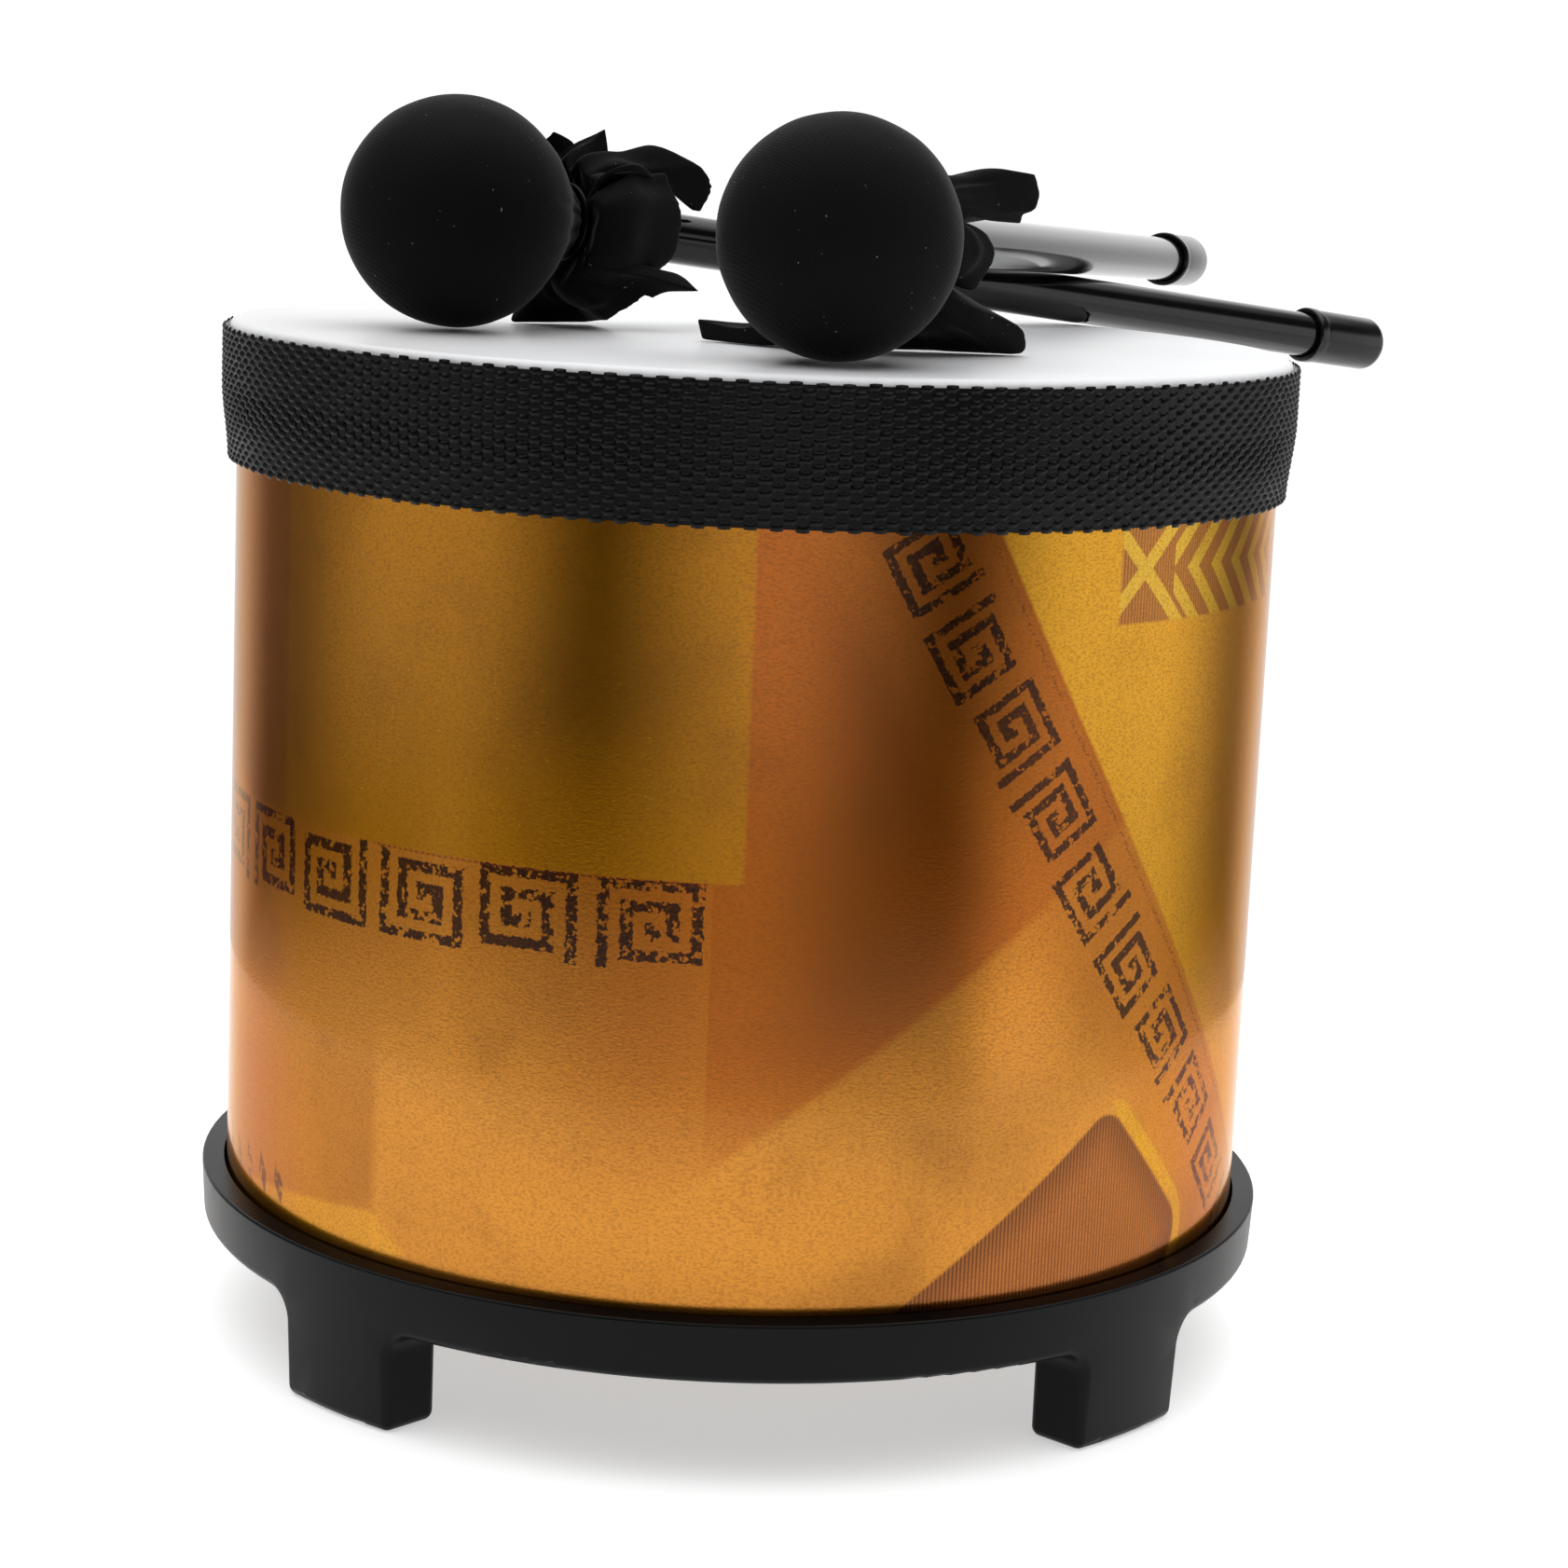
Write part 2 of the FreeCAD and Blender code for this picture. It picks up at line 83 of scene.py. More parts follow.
studio = {
    "camera": 1.05,                      # what the camera sees behind the drum
    "room": 0.05,                        # the unlit room
    # where a white wall stands round the drum, in degrees from the front to the right, its half width,
    # its soft edge, its brightness, how high it reaches, and the share of its light that is left low down;
    # the last two are patches of bright floor
    "walls": [
        (180, 34, 16, 1.0, 0.65, 1.0),
        (84, 21, 24, 1.15, 0.3, 0.7),
        (120, 14, 22, 0.3, 0.3, 0.45),
        (-76, 20, 24, 0.95, 0.3, 0.05),
        (-126, 16, 22, 0.2, 0.3, 0.05),
        (4, 13, 28, 1.35, 0.04, 0.4),
        (58, 8, 18, 2.0, -0.25, 1.0),
        (-69, 3, 11, 1.5, -0.24, 1.0),
    ],
    "wallTopSoft": 0.08,
    "wallFoot": (-0.22, -0.14),          # between these heights a wall's light falls to its low share
    "ceiling": 2.0,
    "ceilingEdge": (0.55, 0.8),
    "ceilingFront": 0.3,                 # the share of its light that is left towards the camera
    "farFloor": 1.0,                     # the bright ground beyond the floor piece
    "farFloorEdge": (-0.26, -0.2),
    "floorRadius": 0.34,                 # metres
    "floorGlow": 0.5,
    "floorRough": 0.6,
}


def lightStudio():
    bpy.context.scene.view_settings.view_transform = "Standard"
    world = bpy.data.worlds.new("white_studio")
    world.use_nodes = True
    bpy.context.scene.world = world
    tree = world.node_tree
    background = tree.nodes["Background"]
    connect(tree, "ffffff", background.inputs["Color"])
    x, y, z = parts(tree, coordinates(tree, "Generated"))
    turn = x.maths("ARCTAN2", -y) * (180 / math.pi)
    front, topSoft = studio["ceilingFront"], studio["wallTopSoft"]
    behind = rise(y, -0.75, -0.1) * (1 - front) + front
    light = rise(z, *studio["ceilingEdge"]) * behind * studio["ceiling"] + studio["room"]
    for middle, half, soft, strength, top, low in studio["walls"]:
        away = abs((turn - middle).maths("WRAP", 180.0, -180.0))
        wide = 1 - rise(away, half - soft / 2, half + soft)
        high = 1 - rise(z, top - topSoft, top + topSoft)
        light = light + wide * strength * high * (rise(z, *studio["wallFoot"]) * (1 - low) + low)
    light = most(light, (1 - rise(z, *studio["farFloorEdge"])) * studio["farFloor"])
    seen = Number(tree, addNode(tree, "ShaderNodeLightPath").outputs["Is Camera Ray"])
    connect(tree, most(light * (1 - seen), seen * studio["camera"]), background.inputs["Strength"])


def layFloor():
    shape = bmesh.new()
    bmesh.ops.create_circle(shape, cap_ends=True, segments=96, radius=studio["floorRadius"])
    mesh = bpy.data.meshes.new("floor")
    shape.to_mesh(mesh)
    shape.free()
    material = newMaterial("pale_floor", colour="f4f4f4", rough=studio["floorRough"], glow="ffffff",
                           glowStrength=studio["floorGlow"])[0]
    mesh.materials.append(material)
    newObject("floor", mesh)


# numbers and colours in a node tree

class Number:
    # a value that varies over a surface: the output of a node
    def __init__(self, tree, socket):
        self.tree = tree
        self.socket = socket

    def maths(self, operation, *others):
        return maths(self.tree, operation, self, *others)

    def __add__(self, other):
        return self.maths("ADD", other)

    def __sub__(self, other):
        return self.maths("SUBTRACT", other)

    def __rsub__(self, other):
        return maths(self.tree, "SUBTRACT", other, self)

    def __mul__(self, other):
        return self.maths("MULTIPLY", other)

    def __truediv__(self, other):
        return self.maths("DIVIDE", other)

    def __neg__(self):
        return self.maths("MULTIPLY", -1)

    def __abs__(self):
        return self.maths("ABSOLUTE")


def connect(tree, value, slot):
    # a number or a colour is set, and what another node gives is linked
    if isinstance(value, Number):
        value = value.socket
    if isinstance(value, bpy.types.NodeSocket):
        tree.links.new(value, slot)
    else:
        slot.default_value = tone(value) if isinstance(value, str) else value


def addNode(tree, kind, inputs=None, **settings):
    # inputs go by their name or number
    node = tree.nodes.new(kind)
    for key, value in settings.items():
        setattr(node, key, value)
    for key, value in (inputs or {}).items():
        connect(tree, value, node.inputs[key])
    return node


def maths(tree, operation, *values):
    node = addNode(tree, "ShaderNodeMath", dict(enumerate(values)), operation=operation)
    return Number(tree, node.outputs[0])


def least(a, b):
    return a.maths("MINIMUM", b)


def most(a, b):
    return a.maths("MAXIMUM", b)


def rise(value, low, high):
    # 0 below low and 1 above high, with a soft step between them
    inputs = {"Value": value, "From Min": low, "From Max": high}
    node = addNode(value.tree, "ShaderNodeMapRange", inputs, interpolation_type="SMOOTHSTEP")
    return Number(value.tree, node.outputs["Result"])


def between(value, low, high, soft):
    return rise(value, low - soft, low + soft) * (1 - rise(value, high - soft, high + soft))


def coordinates(tree, kind="Object"):
    return addNode(tree, "ShaderNodeTexCoord").outputs[kind]


def parts(tree, vector):
    node = addNode(tree, "ShaderNodeSeparateXYZ", {0: vector})
    return [Number(tree, output) for output in node.outputs]


def vectorOf(tree, x, y, z=0.0):
    return addNode(tree, "ShaderNodeCombineXYZ", {0: x, 1: y, 2: z}).outputs[0]


def noiseOver(tree, vector, scale, detail=2.0, roughness=0.5):
    inputs = {"Vector": vector, "Scale": scale, "Detail": detail, "Roughness": roughness}
    return Number(tree, addNode(tree, "ShaderNodeTexNoise", inputs).outputs["Fac"])


def tone(hexColour):
    # an sRGB colour such as c8912d as linear red, green, blue and alpha
    shares = [int(hexColour[i:i + 2], 16) / 255 for i in (0, 2, 4)]
    return tuple(s / 12.92 if s < 0.04045 else ((s + 0.055) / 1.055) ** 2.4 for s in shares) + (1.0,)


def blend(tree, under, over, amount):
    return addNode(tree, "ShaderNodeMix", {0: amount, 6: under, 7: over}, data_type="RGBA").outputs[2]


def relief(tree, shader, height, depth, strength=1.0):
    # a bump of real depth in millimetres
    inputs = {"Strength": strength, "Distance": depth * mm, "Height": height}
    connect(tree, addNode(tree, "ShaderNodeBump", inputs).outputs[0], shader.inputs["Normal"])


def paint(tree, shader, colour, roughness):
    connect(tree, colour, shader.inputs["Base Color"])
    connect(tree, roughness, shader.inputs["Roughness"])


inputName = {
    "colour": "Base Color",
    "rough": "Roughness",
    "metal": "Metallic",
    "gloss": "Specular IOR Level",
    "glossTint": "Specular Tint",
    "coat": "Coat Weight",
    "coatRough": "Coat Roughness",
    "coatIor": "Coat IOR",
    "sheen": "Sheen Weight",
    "sheenRough": "Sheen Roughness",
    "sheenTint": "Sheen Tint",
    "glow": "Emission Color",
    "glowStrength": "Emission Strength",
}


def newMaterial(name, **settings):
    material = bpy.data.materials.new(name)
    material.use_nodes = True
    tree = material.node_tree
    shader = tree.nodes["Principled BSDF"]
    for key, value in settings.items():
        connect(tree, value, shader.inputs[inputName[key]])
    return material, tree, shader


# the printed film: gold patches and borders of plain key frets, drawn by rule

film = {
    "radius": 102.4,
    "period": 321.7,                   # the print comes twice round the shell
    # the level row of frets: the height of its middle, its pitch, its ends and a fret's half sizes
    "rowCentre": 101.3, "rowPitch": 22.6, "rowStart": -155.0, "rowEnd": -8.0, "rowHalf": (9.6, 8.2),
    # the slanted strip: its middle line's ends and bend, its frets, its half width, where they start
    "stripFrom": (28.2, 166.6), "stripTo": (112.2, 45.9), "stripBend": 5.0,
    "stripPitch": 18.4, "stripHalf": (7.4, 7.2), "stripSide": 12.0, "stripStart": (-14, -13),
    "fretPitch": 0.47,                 # from one turn of a fret's line to the next, of its half width
    "fretLine": (0.05, 0.57, 0.03),    # where the line starts and ends in a turn, and its soft edge
    "fretOuter": 1.04,
    "fretRough": 0.16,
    "wear": (0.42, 0.46),              # the ink is worn off where the noise is below these
    "pinstripe": 0.8,
    "oliveEnds": (-104, -3.2), "oliveFoot": 109.2,
    "latticeEnds": (67.5, 129), "latticeFoot": 154.2, "latticeCross": (73.7, 164.4),
    "latticeLine": 1.4, "chevronPitch": 8.4,
    "stampPitch": 7.4,
    "wall": 0.25,
    "tones": {
        "low": "b67624", "middle": "c2802a", "high": "b46f1e",
        "brown": "a25410", "leftStep": "9c5c18", "corner": "cc9024", "olive": "ab700a",
        "farSide": "96601c", "shadow": "7a3e08", "wash": "633808",
        "strip": "b0661c", "rightSide": "cf9420", "stripEdge": "4c2610",
        "patchBorder": "c8921e", "patchStripes": ("6e3715", "9e5c26"), "patchRim": "4e2a0e",
        "latticeGround": ("8a5220", "ac7032"), "latticeBars": "cfa535",
        "ink": "24130d", "dashes": "6a1f14", "stamps": "3c2a18", "grain": "6f3a0a", "specks": "c9a02c",
        "metal": "e6b980",
    },
}


def unrolled(tree):
    # arc length and height on the shell in millimetres, the arc repeated with the print's period
    x, y, z = parts(tree, coordinates(tree))
    turn = x.maths("ARCTAN2", -y)
    half = film["period"] / 2
    return (turn * film["radius"]).maths("WRAP", half, -half), z / mm


def keyFret(x, y, halfWidth, halfHeight, rough):
    # a square spiral line that starts at the square's edge and winds inwards, with rough edges
    pitch = film["fretPitch"]
    step = pitch / 2
    x, y = x / halfWidth, y / halfHeight
    upper = most(abs(x), abs(y))
    lower = most(abs(x - step), abs(y)) + step
    above = rise(y, -0.001, 0.001)
    rough = rough * film["fretRough"]
    distance = lower + (upper - lower) * above + rough
    turnPlace = ((film["fretOuter"] - distance) / pitch).maths("FRACT")
    line = between(turnPlace, *film["fretLine"])
    return line * (1 - rise(upper + rough, 0.98, 1.0))


def cellsAlong(value, pitch):
    # the place in a repeated cell, from its middle, and the cell's own number
    cell = (value / pitch).maths("FLOOR")
    return value - (cell + 0.5) * pitch, cell


def slantedPlace(u, v):
    # along and across the slanted strip, from its upper end
    run = Vector(film["stripTo"]) - Vector(film["stripFrom"])
    along = run.normalized()
    middle = film["stripFrom"][1] + run.y / 2
    bend = most(1 - ((v - middle) / (run.y / 2)).maths("POWER", 2), -0.2)
    u = u + bend * film["stripBend"]
    u, v = u - film["stripFrom"][0], v - film["stripFrom"][1]
    return u * along.x + v * along.y, v * along.x - u * along.y


def groundTones(tree, u, v, wash):
    # the large patches, from the ground up; u runs to the right and v up, in millimetres
    tones = film["tones"]
    foot = film["oliveFoot"]
    colour = blend(tree, tones["low"], tones["middle"], rise(v, 26, 46))
    colour = blend(tree, colour, tones["high"], rise(v, 60, 120))
    aboveBeam = rise(v - u * 0.765 - 62.9, -1.5, 1.5)
    shaded = rise(u, -50, -14) * 0.7
    step = rise(u + rise(v, foot, foot + 0.6) * -5.5, -9.1, -8.1)
    brown = most(step, shaded) * aboveBeam * rise(v, 42, 82)
    colour = blend(tree, colour, tones["brown"], brown * 0.9)
    leftStep = (1 - rise(u, -76, -72.5)) * (1 - rise(v, 58, 84))
    colour = blend(tree, colour, tones["leftStep"], leftStep * 0.6)
    corner = between(v - u * 0.11 - 48.6, -8, 0, 0.8) * (1 - rise(u + v * 1.2, -28, -24))
    colour = blend(tree, colour, tones["corner"], corner * 0.6)
    olive = between(u, *film["oliveEnds"], 0.6) * rise(v, foot, foot + 0.8)
    colour = blend(tree, colour, tones["olive"], olive)
    farSide = (1 - rise(u, -104.6, -103.6)) * rise(v + u * 0.9, -4, 2) * rise(v, 109, 111)
    colour = blend(tree, colour, tones["farSide"], farSide * 0.8)
    shadow = between(u, 6, 44, 16) * rise(v - u * 0.75, 50, 80)
    colour = blend(tree, colour, tones["shadow"], shadow * 0.7)
    return blend(tree, colour, tones["wash"], rise(wash, 0.5, 0.78) * 0.4)


def stripTones(tree, colour, across, grain):
    half = film["stripSide"]
    strip = rise(across, -half - 9, -half + 3) * (1 - rise(across, half - 0.8, half + 0.8))
    colour = blend(tree, colour, film["tones"]["strip"], strip * 0.45)
    rightSide = rise(across, half, half + 1)
    colour = blend(tree, colour, film["tones"]["rightSide"], rightSide)
    edge = between(across, half - 1.6, half - 0.9, 0.35)
    return blend(tree, colour, film["tones"]["stripEdge"], edge * rise(grain, 0.45, 0.6) * 0.6)


def pinstripes(tree, u, dark, light):
    stripes = rise((u / film["pinstripe"]).maths("FRACT"), 0.3, 0.6)
    return blend(tree, dark, light, stripes), stripes


def pinstripePatch(tree, colour, u, v):
    # a rounded corner of a patch: outside its left, right and lower edges the distance is above 0
    rounding = 4.5
    left = (v - 51.8) * 0.80 - (u - 55.2) * 0.60
    right = (u - 88.7) * 0.731 + (v - 47.7) * 0.682
    lower = (u - 93.7) * 0.86 - (v - 31.5) * 0.51
    a, b = most(left, lower) + rounding, right + rounding
    outer = (most(a, 0) * most(a, 0) + most(b, 0) * most(b, 0)).maths("SQRT")
    distance = outer + least(most(a, b), 0) - rounding
    border = between(distance, 0.4, 3.4, 0.4) * rise(u, 72, 77)
    colour = blend(tree, colour, film["tones"]["patchBorder"], border * 0.85)
    inside = 1 - rise(distance, -0.4, 0.4)
    fill, stripes = pinstripes(tree, u, *film["tones"]["patchStripes"])
    colour = blend(tree, colour, fill, inside * 0.9)
    rim = rise(distance, -8, 0) * inside
    return blend(tree, colour, film["tones"]["patchRim"], rim * (1 - stripes * 0.5) * 0.8)


def latticePatch(tree, colour, u, v):
    # two crossed bars, and a row of chevrons to their right
    foot, width, far = film["latticeFoot"], film["latticeLine"], 9
    place = between(u, *film["latticeEnds"], 0.4) * rise(v, foot, foot + 0.8)
    ground = pinstripes(tree, u, *film["tones"]["latticeGround"])[0]
    x, y = u - film["latticeCross"][0], v - film["latticeCross"][1]
    crossing = least(abs(x - y), abs(x + y)) / math.sqrt(2)
    chevron = cellsAlong(x - 10.2 - abs(y + 0.5), film["chevronPitch"])[0]
    chevrons = abs(chevron) / math.sqrt(2)
    chevrons = chevrons + (1 - rise(x, 8.0, 8.4)) * far
    crossing = crossing + rise(x - abs(y), 6.0, 6.4) * far
    bars = 1 - rise(least(crossing, chevrons), width - 0.2, width + 0.2)
    drawn = blend(tree, ground, film["tones"]["latticeBars"], bars)
    return blend(tree, colour, drawn, place * 0.95)


def fretsAlong(run, across, pitch, halfSizes, rough):
    # one fret in each cell, every second one mirrored and every third and fourth upside down
    x, cell = cellsAlong(run, pitch)
    flip = (cell / 2).maths("FRACT").maths("GREATER_THAN", 0.25) * 2 - 1
    turned = (cell / 4).maths("FRACT").maths("GREATER_THAN", 0.4) * 2 - 1
    return keyFret(x * flip, across * turned, *halfSizes, rough)


def keyFretBorders(tree, colour, u, v, along, across, worn, rough):
    row = fretsAlong(u - film["rowEnd"], v - film["rowCentre"], film["rowPitch"], film["rowHalf"], rough)
    row = row * between(u, film["rowStart"], film["rowEnd"], 0.1)
    colour = blend(tree, colour, film["tones"]["ink"], row * worn * 0.96)
    run = along + film["stripPitch"] / 2
    strip = fretsAlong(run, across, film["stripPitch"], film["stripHalf"], rough)
    strip = strip * rise(along, *film["stripStart"])
    colour = blend(tree, colour, film["tones"]["ink"], strip * worn * 0.94)
    dashes = rise((u / 1.3).maths("FRACT"), 0.25, 0.4)
    line = between(v, 109.1, 109.5, 0.15) * between(u, -76, -9, 1) * dashes
    return blend(tree, colour, film["tones"]["dashes"], line * 0.6)


def stamps(tree, colour, u, v, worn):
    # a few dark arrow points at the far left
    x = cellsAlong(u + 134 + v * 0.3, film["stampPitch"])[0]
    mark = (1 - rise(abs(x) + abs(v - 38) * 0.45, 1.5, 2.2)) * rise(v, 33.6, 34.4)
    mark = mark * between(u, -136, -99, 0.5)
    return blend(tree, colour, film["tones"]["stamps"], mark * worn * 0.8)


def printedFilm():
    material, tree, shader = newMaterial("printed_film", metal=0.94, glossTint=film["tones"]["metal"],
                                         coat=0.3, coatRough=0.05)
    point = coordinates(tree)
    x, y, z = parts(tree, point)
    flat = vectorOf(tree, x, y, z * 2.1)       # what is printed by roller lies in short level streaks
    u, v = unrolled(tree)
    along, across = slantedPlace(u, v)
    wash = noiseOver(tree, point, 14, 3)
    cloud = noiseOver(tree, point, 55, 3)
    streaks = noiseOver(tree, flat, 900, 2, 0.6)
    grain = noiseOver(tree, flat, 1500, 2, 0.6)
    crumbs = noiseOver(tree, point, 1100, 2, 0.6)
    wear = noiseOver(tree, point, 620, 3, 0.65) + (cloud - 0.5) * 0.3
    worn = rise(wear, *film["wear"])
    colour = groundTones(tree, u, v, wash)
    colour = stripTones(tree, colour, across, grain)
    colour = pinstripePatch(tree, colour, u, v)
    colour = latticePatch(tree, colour, u, v)
    colour = keyFretBorders(tree, colour, u, v, along, across, worn, crumbs - 0.5)
    colour = stamps(tree, colour, u, v, worn)
    dirt = rise(grain, 0.44, 0.64) * 0.34 + rise(cloud, 0.5, 0.75) * 0.16
    colour = blend(tree, colour, film["tones"]["grain"], dirt)
    specks = rise(noiseOver(tree, flat, 1350, 1), 0.7, 0.75)
    specks = specks * between(v, 113, 146, 5) * between(u, -98, -14, 8)
    colour = blend(tree, colour, film["tones"]["specks"], specks * 0.45)
    paint(tree, shader, colour, grain * 0.1 + 0.13)
    relief(tree, shader, streaks * 0.6 + grain * 0.4, 0.03, 0.5)
    return material


# the other finishes: a darker and a lighter colour, blended by noise

tints = {
    "plastic": ("08090a", "0f1012"),
    "head": ("f4f5f7", "e9e9ea"),
    "yarn": ("030304", "070708"),
    "knit": ("050405", "0d0c0d"), "knitSheen": "b9b6bd", "lint": "8d8a88",
    "tube": ("060608", "0c0c0f"),
    "cap": ("0b0b0c", "141416"),
    "fibre": ("8a6a46", "a98a62"), "fibreSeam": "5f452a",
    "wood": ("b98d5a", "d8b482"),
}

knit = {
    "ribPitch": 0.62,
    "crossPitch": 0.9,
    "lintFrom": 0.785,       # less of the cloth holds lint where this is higher
}


def blackPlastic():
    material, tree, shader = newMaterial("moulded_plastic", gloss=0.12)
    point = coordinates(tree)
    cloud = noiseOver(tree, point, 22, 3)
    grain = noiseOver(tree, point, 1300, 2)
    scuffs = rise(noiseOver(tree, point, 160, 4, 0.7), 0.6, 0.75)
    colour = blend(tree, *tints["plastic"], scuffs * 0.6)
    paint(tree, shader, colour, cloud * 0.18 + scuffs * 0.1 + 0.24)
    relief(tree, shader, grain, 0.02, 0.4)
    return material


def whiteHead():
    material, tree, shader = newMaterial("white_head", gloss=0.5)
    point = coordinates(tree)
    cloud = noiseOver(tree, point, 9, 4)
    grain = noiseOver(tree, point, 700, 3)
    paint(tree, shader, blend(tree, *tints["head"], rise(cloud, 0.35, 0.7)), cloud * 0.12 + 0.3)
    relief(tree, shader, grain, 0.02, 0.35)
    return material


def polyYarn():
    material, tree, shader = newMaterial("poly_yarn", gloss=0.14)
    point = coordinates(tree)
    x, y, z = parts(tree, point)
    streaks = noiseOver(tree, vectorOf(tree, x * 0.25, y * 0.25, z), 4200, 2)
    patches = noiseOver(tree, point, 260, 2)
    paint(tree, shader, blend(tree, *tints["yarn"], rise(patches, 0.4, 0.75)), streaks * 0.16 + 0.22)
    relief(tree, shader, streaks, 0.05, 0.6)
    return material


def waves(value, pitch):
    # from 0 to 1 and back over each pitch, in millimetres
    return (value * (math.tau / (pitch * mm))).maths("SINE") * 0.5 + 0.5


def knitCloth(name):
    material, tree, shader = newMaterial(name, gloss=0.12, sheen=0.25, sheenRough=0.3,
                                         sheenTint=tints["knitSheen"])
    point = coordinates(tree)
    x, y, z = parts(tree, point)
    rib = waves(x * 0.55 + y * 0.2 + z * 0.81, knit["ribPitch"])
    cross = waves(x * 0.83 - y * 0.1 - z * 0.55, knit["crossPitch"])
    lint = rise(noiseOver(tree, point, 1100, 1), knit["lintFrom"], knit["lintFrom"] + 0.015)
    cloud = noiseOver(tree, point, 60, 3)
    colour = blend(tree, *tints["knit"], rib * 0.25 + rise(cloud, 0.4, 0.8) * 0.3)
    paint(tree, shader, blend(tree, colour, tints["lint"], lint * 0.55), cloud * 0.15 + 0.72)
    relief(tree, shader, rib * 0.7 + cross * 0.3, 0.1, 0.4)
    return material


def glossBlack():
    material, tree, shader = newMaterial("gloss_tube", gloss=0.1, coat=1.0, coatRough=0.08, coatIor=1.3)
    point = coordinates(tree)
    cloud = noiseOver(tree, point, 70, 3)
    paint(tree, shader, blend(tree, *tints["tube"], cloud), cloud * 0.08 + 0.1)
    relief(tree, shader, noiseOver(tree, point, 240, 2), 0.01, 0.3)
    return material


def satinRubber():
    material, tree, shader = newMaterial("satin_cap", gloss=0.15, coat=0.8, coatRough=0.16, coatIor=1.3)
    point = coordinates(tree)
    cloud = noiseOver(tree, point, 90, 3)
    paint(tree, shader, blend(tree, *tints["cap"], rise(cloud, 0.4, 0.7)), cloud * 0.14 + 0.2)
    relief(tree, shader, noiseOver(tree, point, 1500, 2), 0.02, 0.4)
    return material


def woundFibre():
    # strips of fibre board wound up the shell, with a dark seam between them
    material, tree, shader = newMaterial("wound_fibre", gloss=0.2)
    x, y, z = parts(tree, coordinates(tree))
    turn = x.maths("ARCTAN2", -y) / math.tau
    seam = abs((z / 0.085 + turn).maths("FRACT") - 0.5)
    fibres = noiseOver(tree, vectorOf(tree, x, y, z * 4), 420, 4, 0.65)
    colour = blend(tree, *tints["fibre"], fibres)
    colour = blend(tree, colour, tints["fibreSeam"], 1 - rise(seam, 0.004, 0.012))
    paint(tree, shader, colour, fibres * 0.2 + 0.66)
    relief(tree, shader, fibres, 0.06, 0.6)
    return material


def turnedWood():
    material, tree, shader = newMaterial("turned_wood", gloss=0.3)
    x, y, z = parts(tree, coordinates(tree))
    grain = noiseOver(tree, vectorOf(tree, x * 3, y * 0.6, z * 3), 160, 4, 0.6)
    paint(tree, shader, blend(tree, *tints["wood"], grain), grain * 0.2 + 0.5)
    relief(tree, shader, grain, 0.05, 0.5)
    return material


finishes = {
    "film": printedFilm(),
    "plastic": blackPlastic(),
    "head": whiteHead(),
    "yarn": polyYarn(),
    "knit": knitCloth("black_knit"),
    "looseCloth": knitCloth("loose_cloth"),
    "tube": glossBlack(),
    "cap": satinRubber(),
    "fibre": woundFibre(),
    "wood": turnedWood(),
}
print("finishes made")


# meshes

def pieceFrom(name, points, faces, finish, sharpDegrees=32, closed=True):
    # points in millimetres; a closed mesh gets its normals turned outwards
    shape = bmesh.new()
    corners = [shape.verts.new(Vector(p) * mm) for p in points]
    for face in faces:
        shape.faces.new([corners[i] for i in face])
    if closed:
        bmesh.ops.recalc_face_normals(shape, faces=shape.faces)
    mesh = bpy.data.meshes.new(name)
    shape.to_mesh(mesh)
    shape.free()
    mesh.polygons.foreach_set("use_smooth", [True] * len(mesh.polygons))
    mesh.set_sharp_from_angle(angle=math.radians(sharpDegrees))
    mesh.materials.append(finishes[finish])
    return newObject(name, mesh)


def spun(name, outline, finish, place=None, sides=192, span=math.tau, start=0.0, sharpDegrees=32):
    # an outline of radius and height turned about Z, or about the axis of a place
    place = place or Matrix.Identity(4)
    whole = span >= math.tau
    around = sides if whole else sides + 1
    looped = outline[0][0] > 0
    points, rings, faces = [], [], []
    for radius, height in outline:
        if radius == 0:
            rings.append([len(points)] * around)
            points.append(place @ Vector((0, 0, height)))
            continue
        rings.append([len(points) + k for k in range(around)])
        for k in range(around):
            turn = start + span * k / sides
            points.append(place @ Vector((radius * math.cos(turn), radius * math.sin(turn), height)))
    pairs = list(zip(rings, rings[1:] + rings[:1])) if looped else list(zip(rings, rings[1:]))
    for low, high in pairs:
        for k in range(sides):
            nextOne = (k + 1) % around
            face = [low[k], low[nextOne], high[nextOne], high[k]]
            kept = [i for n, i in enumerate(face) if i != face[n - 1]]
            if len(kept) > 2:
                faces.append(kept)
    if not whole:
        faces.append([ring[0] for ring in rings])
        faces.append([ring[-1] for ring in reversed(rings)])
    return pieceFrom(name, points, faces, finish, sharpDegrees)


def arc(centreRadius, centreHeight, radius, start, end, steps=6):
    # points of a rounded edge, from one angle in degrees to another
    turns = [math.radians(start + (end - start) * k / steps) for k in range(steps + 1)]
    return [(centreRadius + radius * math.cos(t), centreHeight + radius * math.sin(t)) for t in turns]


def boxOf(node):
    low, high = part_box(node)
    return low / mm, high / mm


def dress(piece, body, slot, *nodes):
    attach(piece, body)
    if nodes:
        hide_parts(*nodes)
    return piece


def finishNode(node, finish):
    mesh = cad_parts[node].data
    mesh.materials.clear()
    mesh.materials.append(finishes[finish])


def smoothCopy(node, finish, sharpDegrees):
    # a CAD node's own shape with its triangles merged, so that its curved faces shade smoothly
    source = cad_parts[node].data
    shape = bmesh.new()
    shape.from_mesh(source)
    bmesh.ops.remove_doubles(shape, verts=shape.verts, dist=0.002 * mm)
    shape.verts.index_update()
    points = [v.co / mm for v in shape.verts]
    faces = [[v.index for v in face.verts] for face in shape.faces]
    shape.free()
    return pieceFrom(node + "_dressed", points, faces, finish, sharpDegrees, closed=False)


# the drum

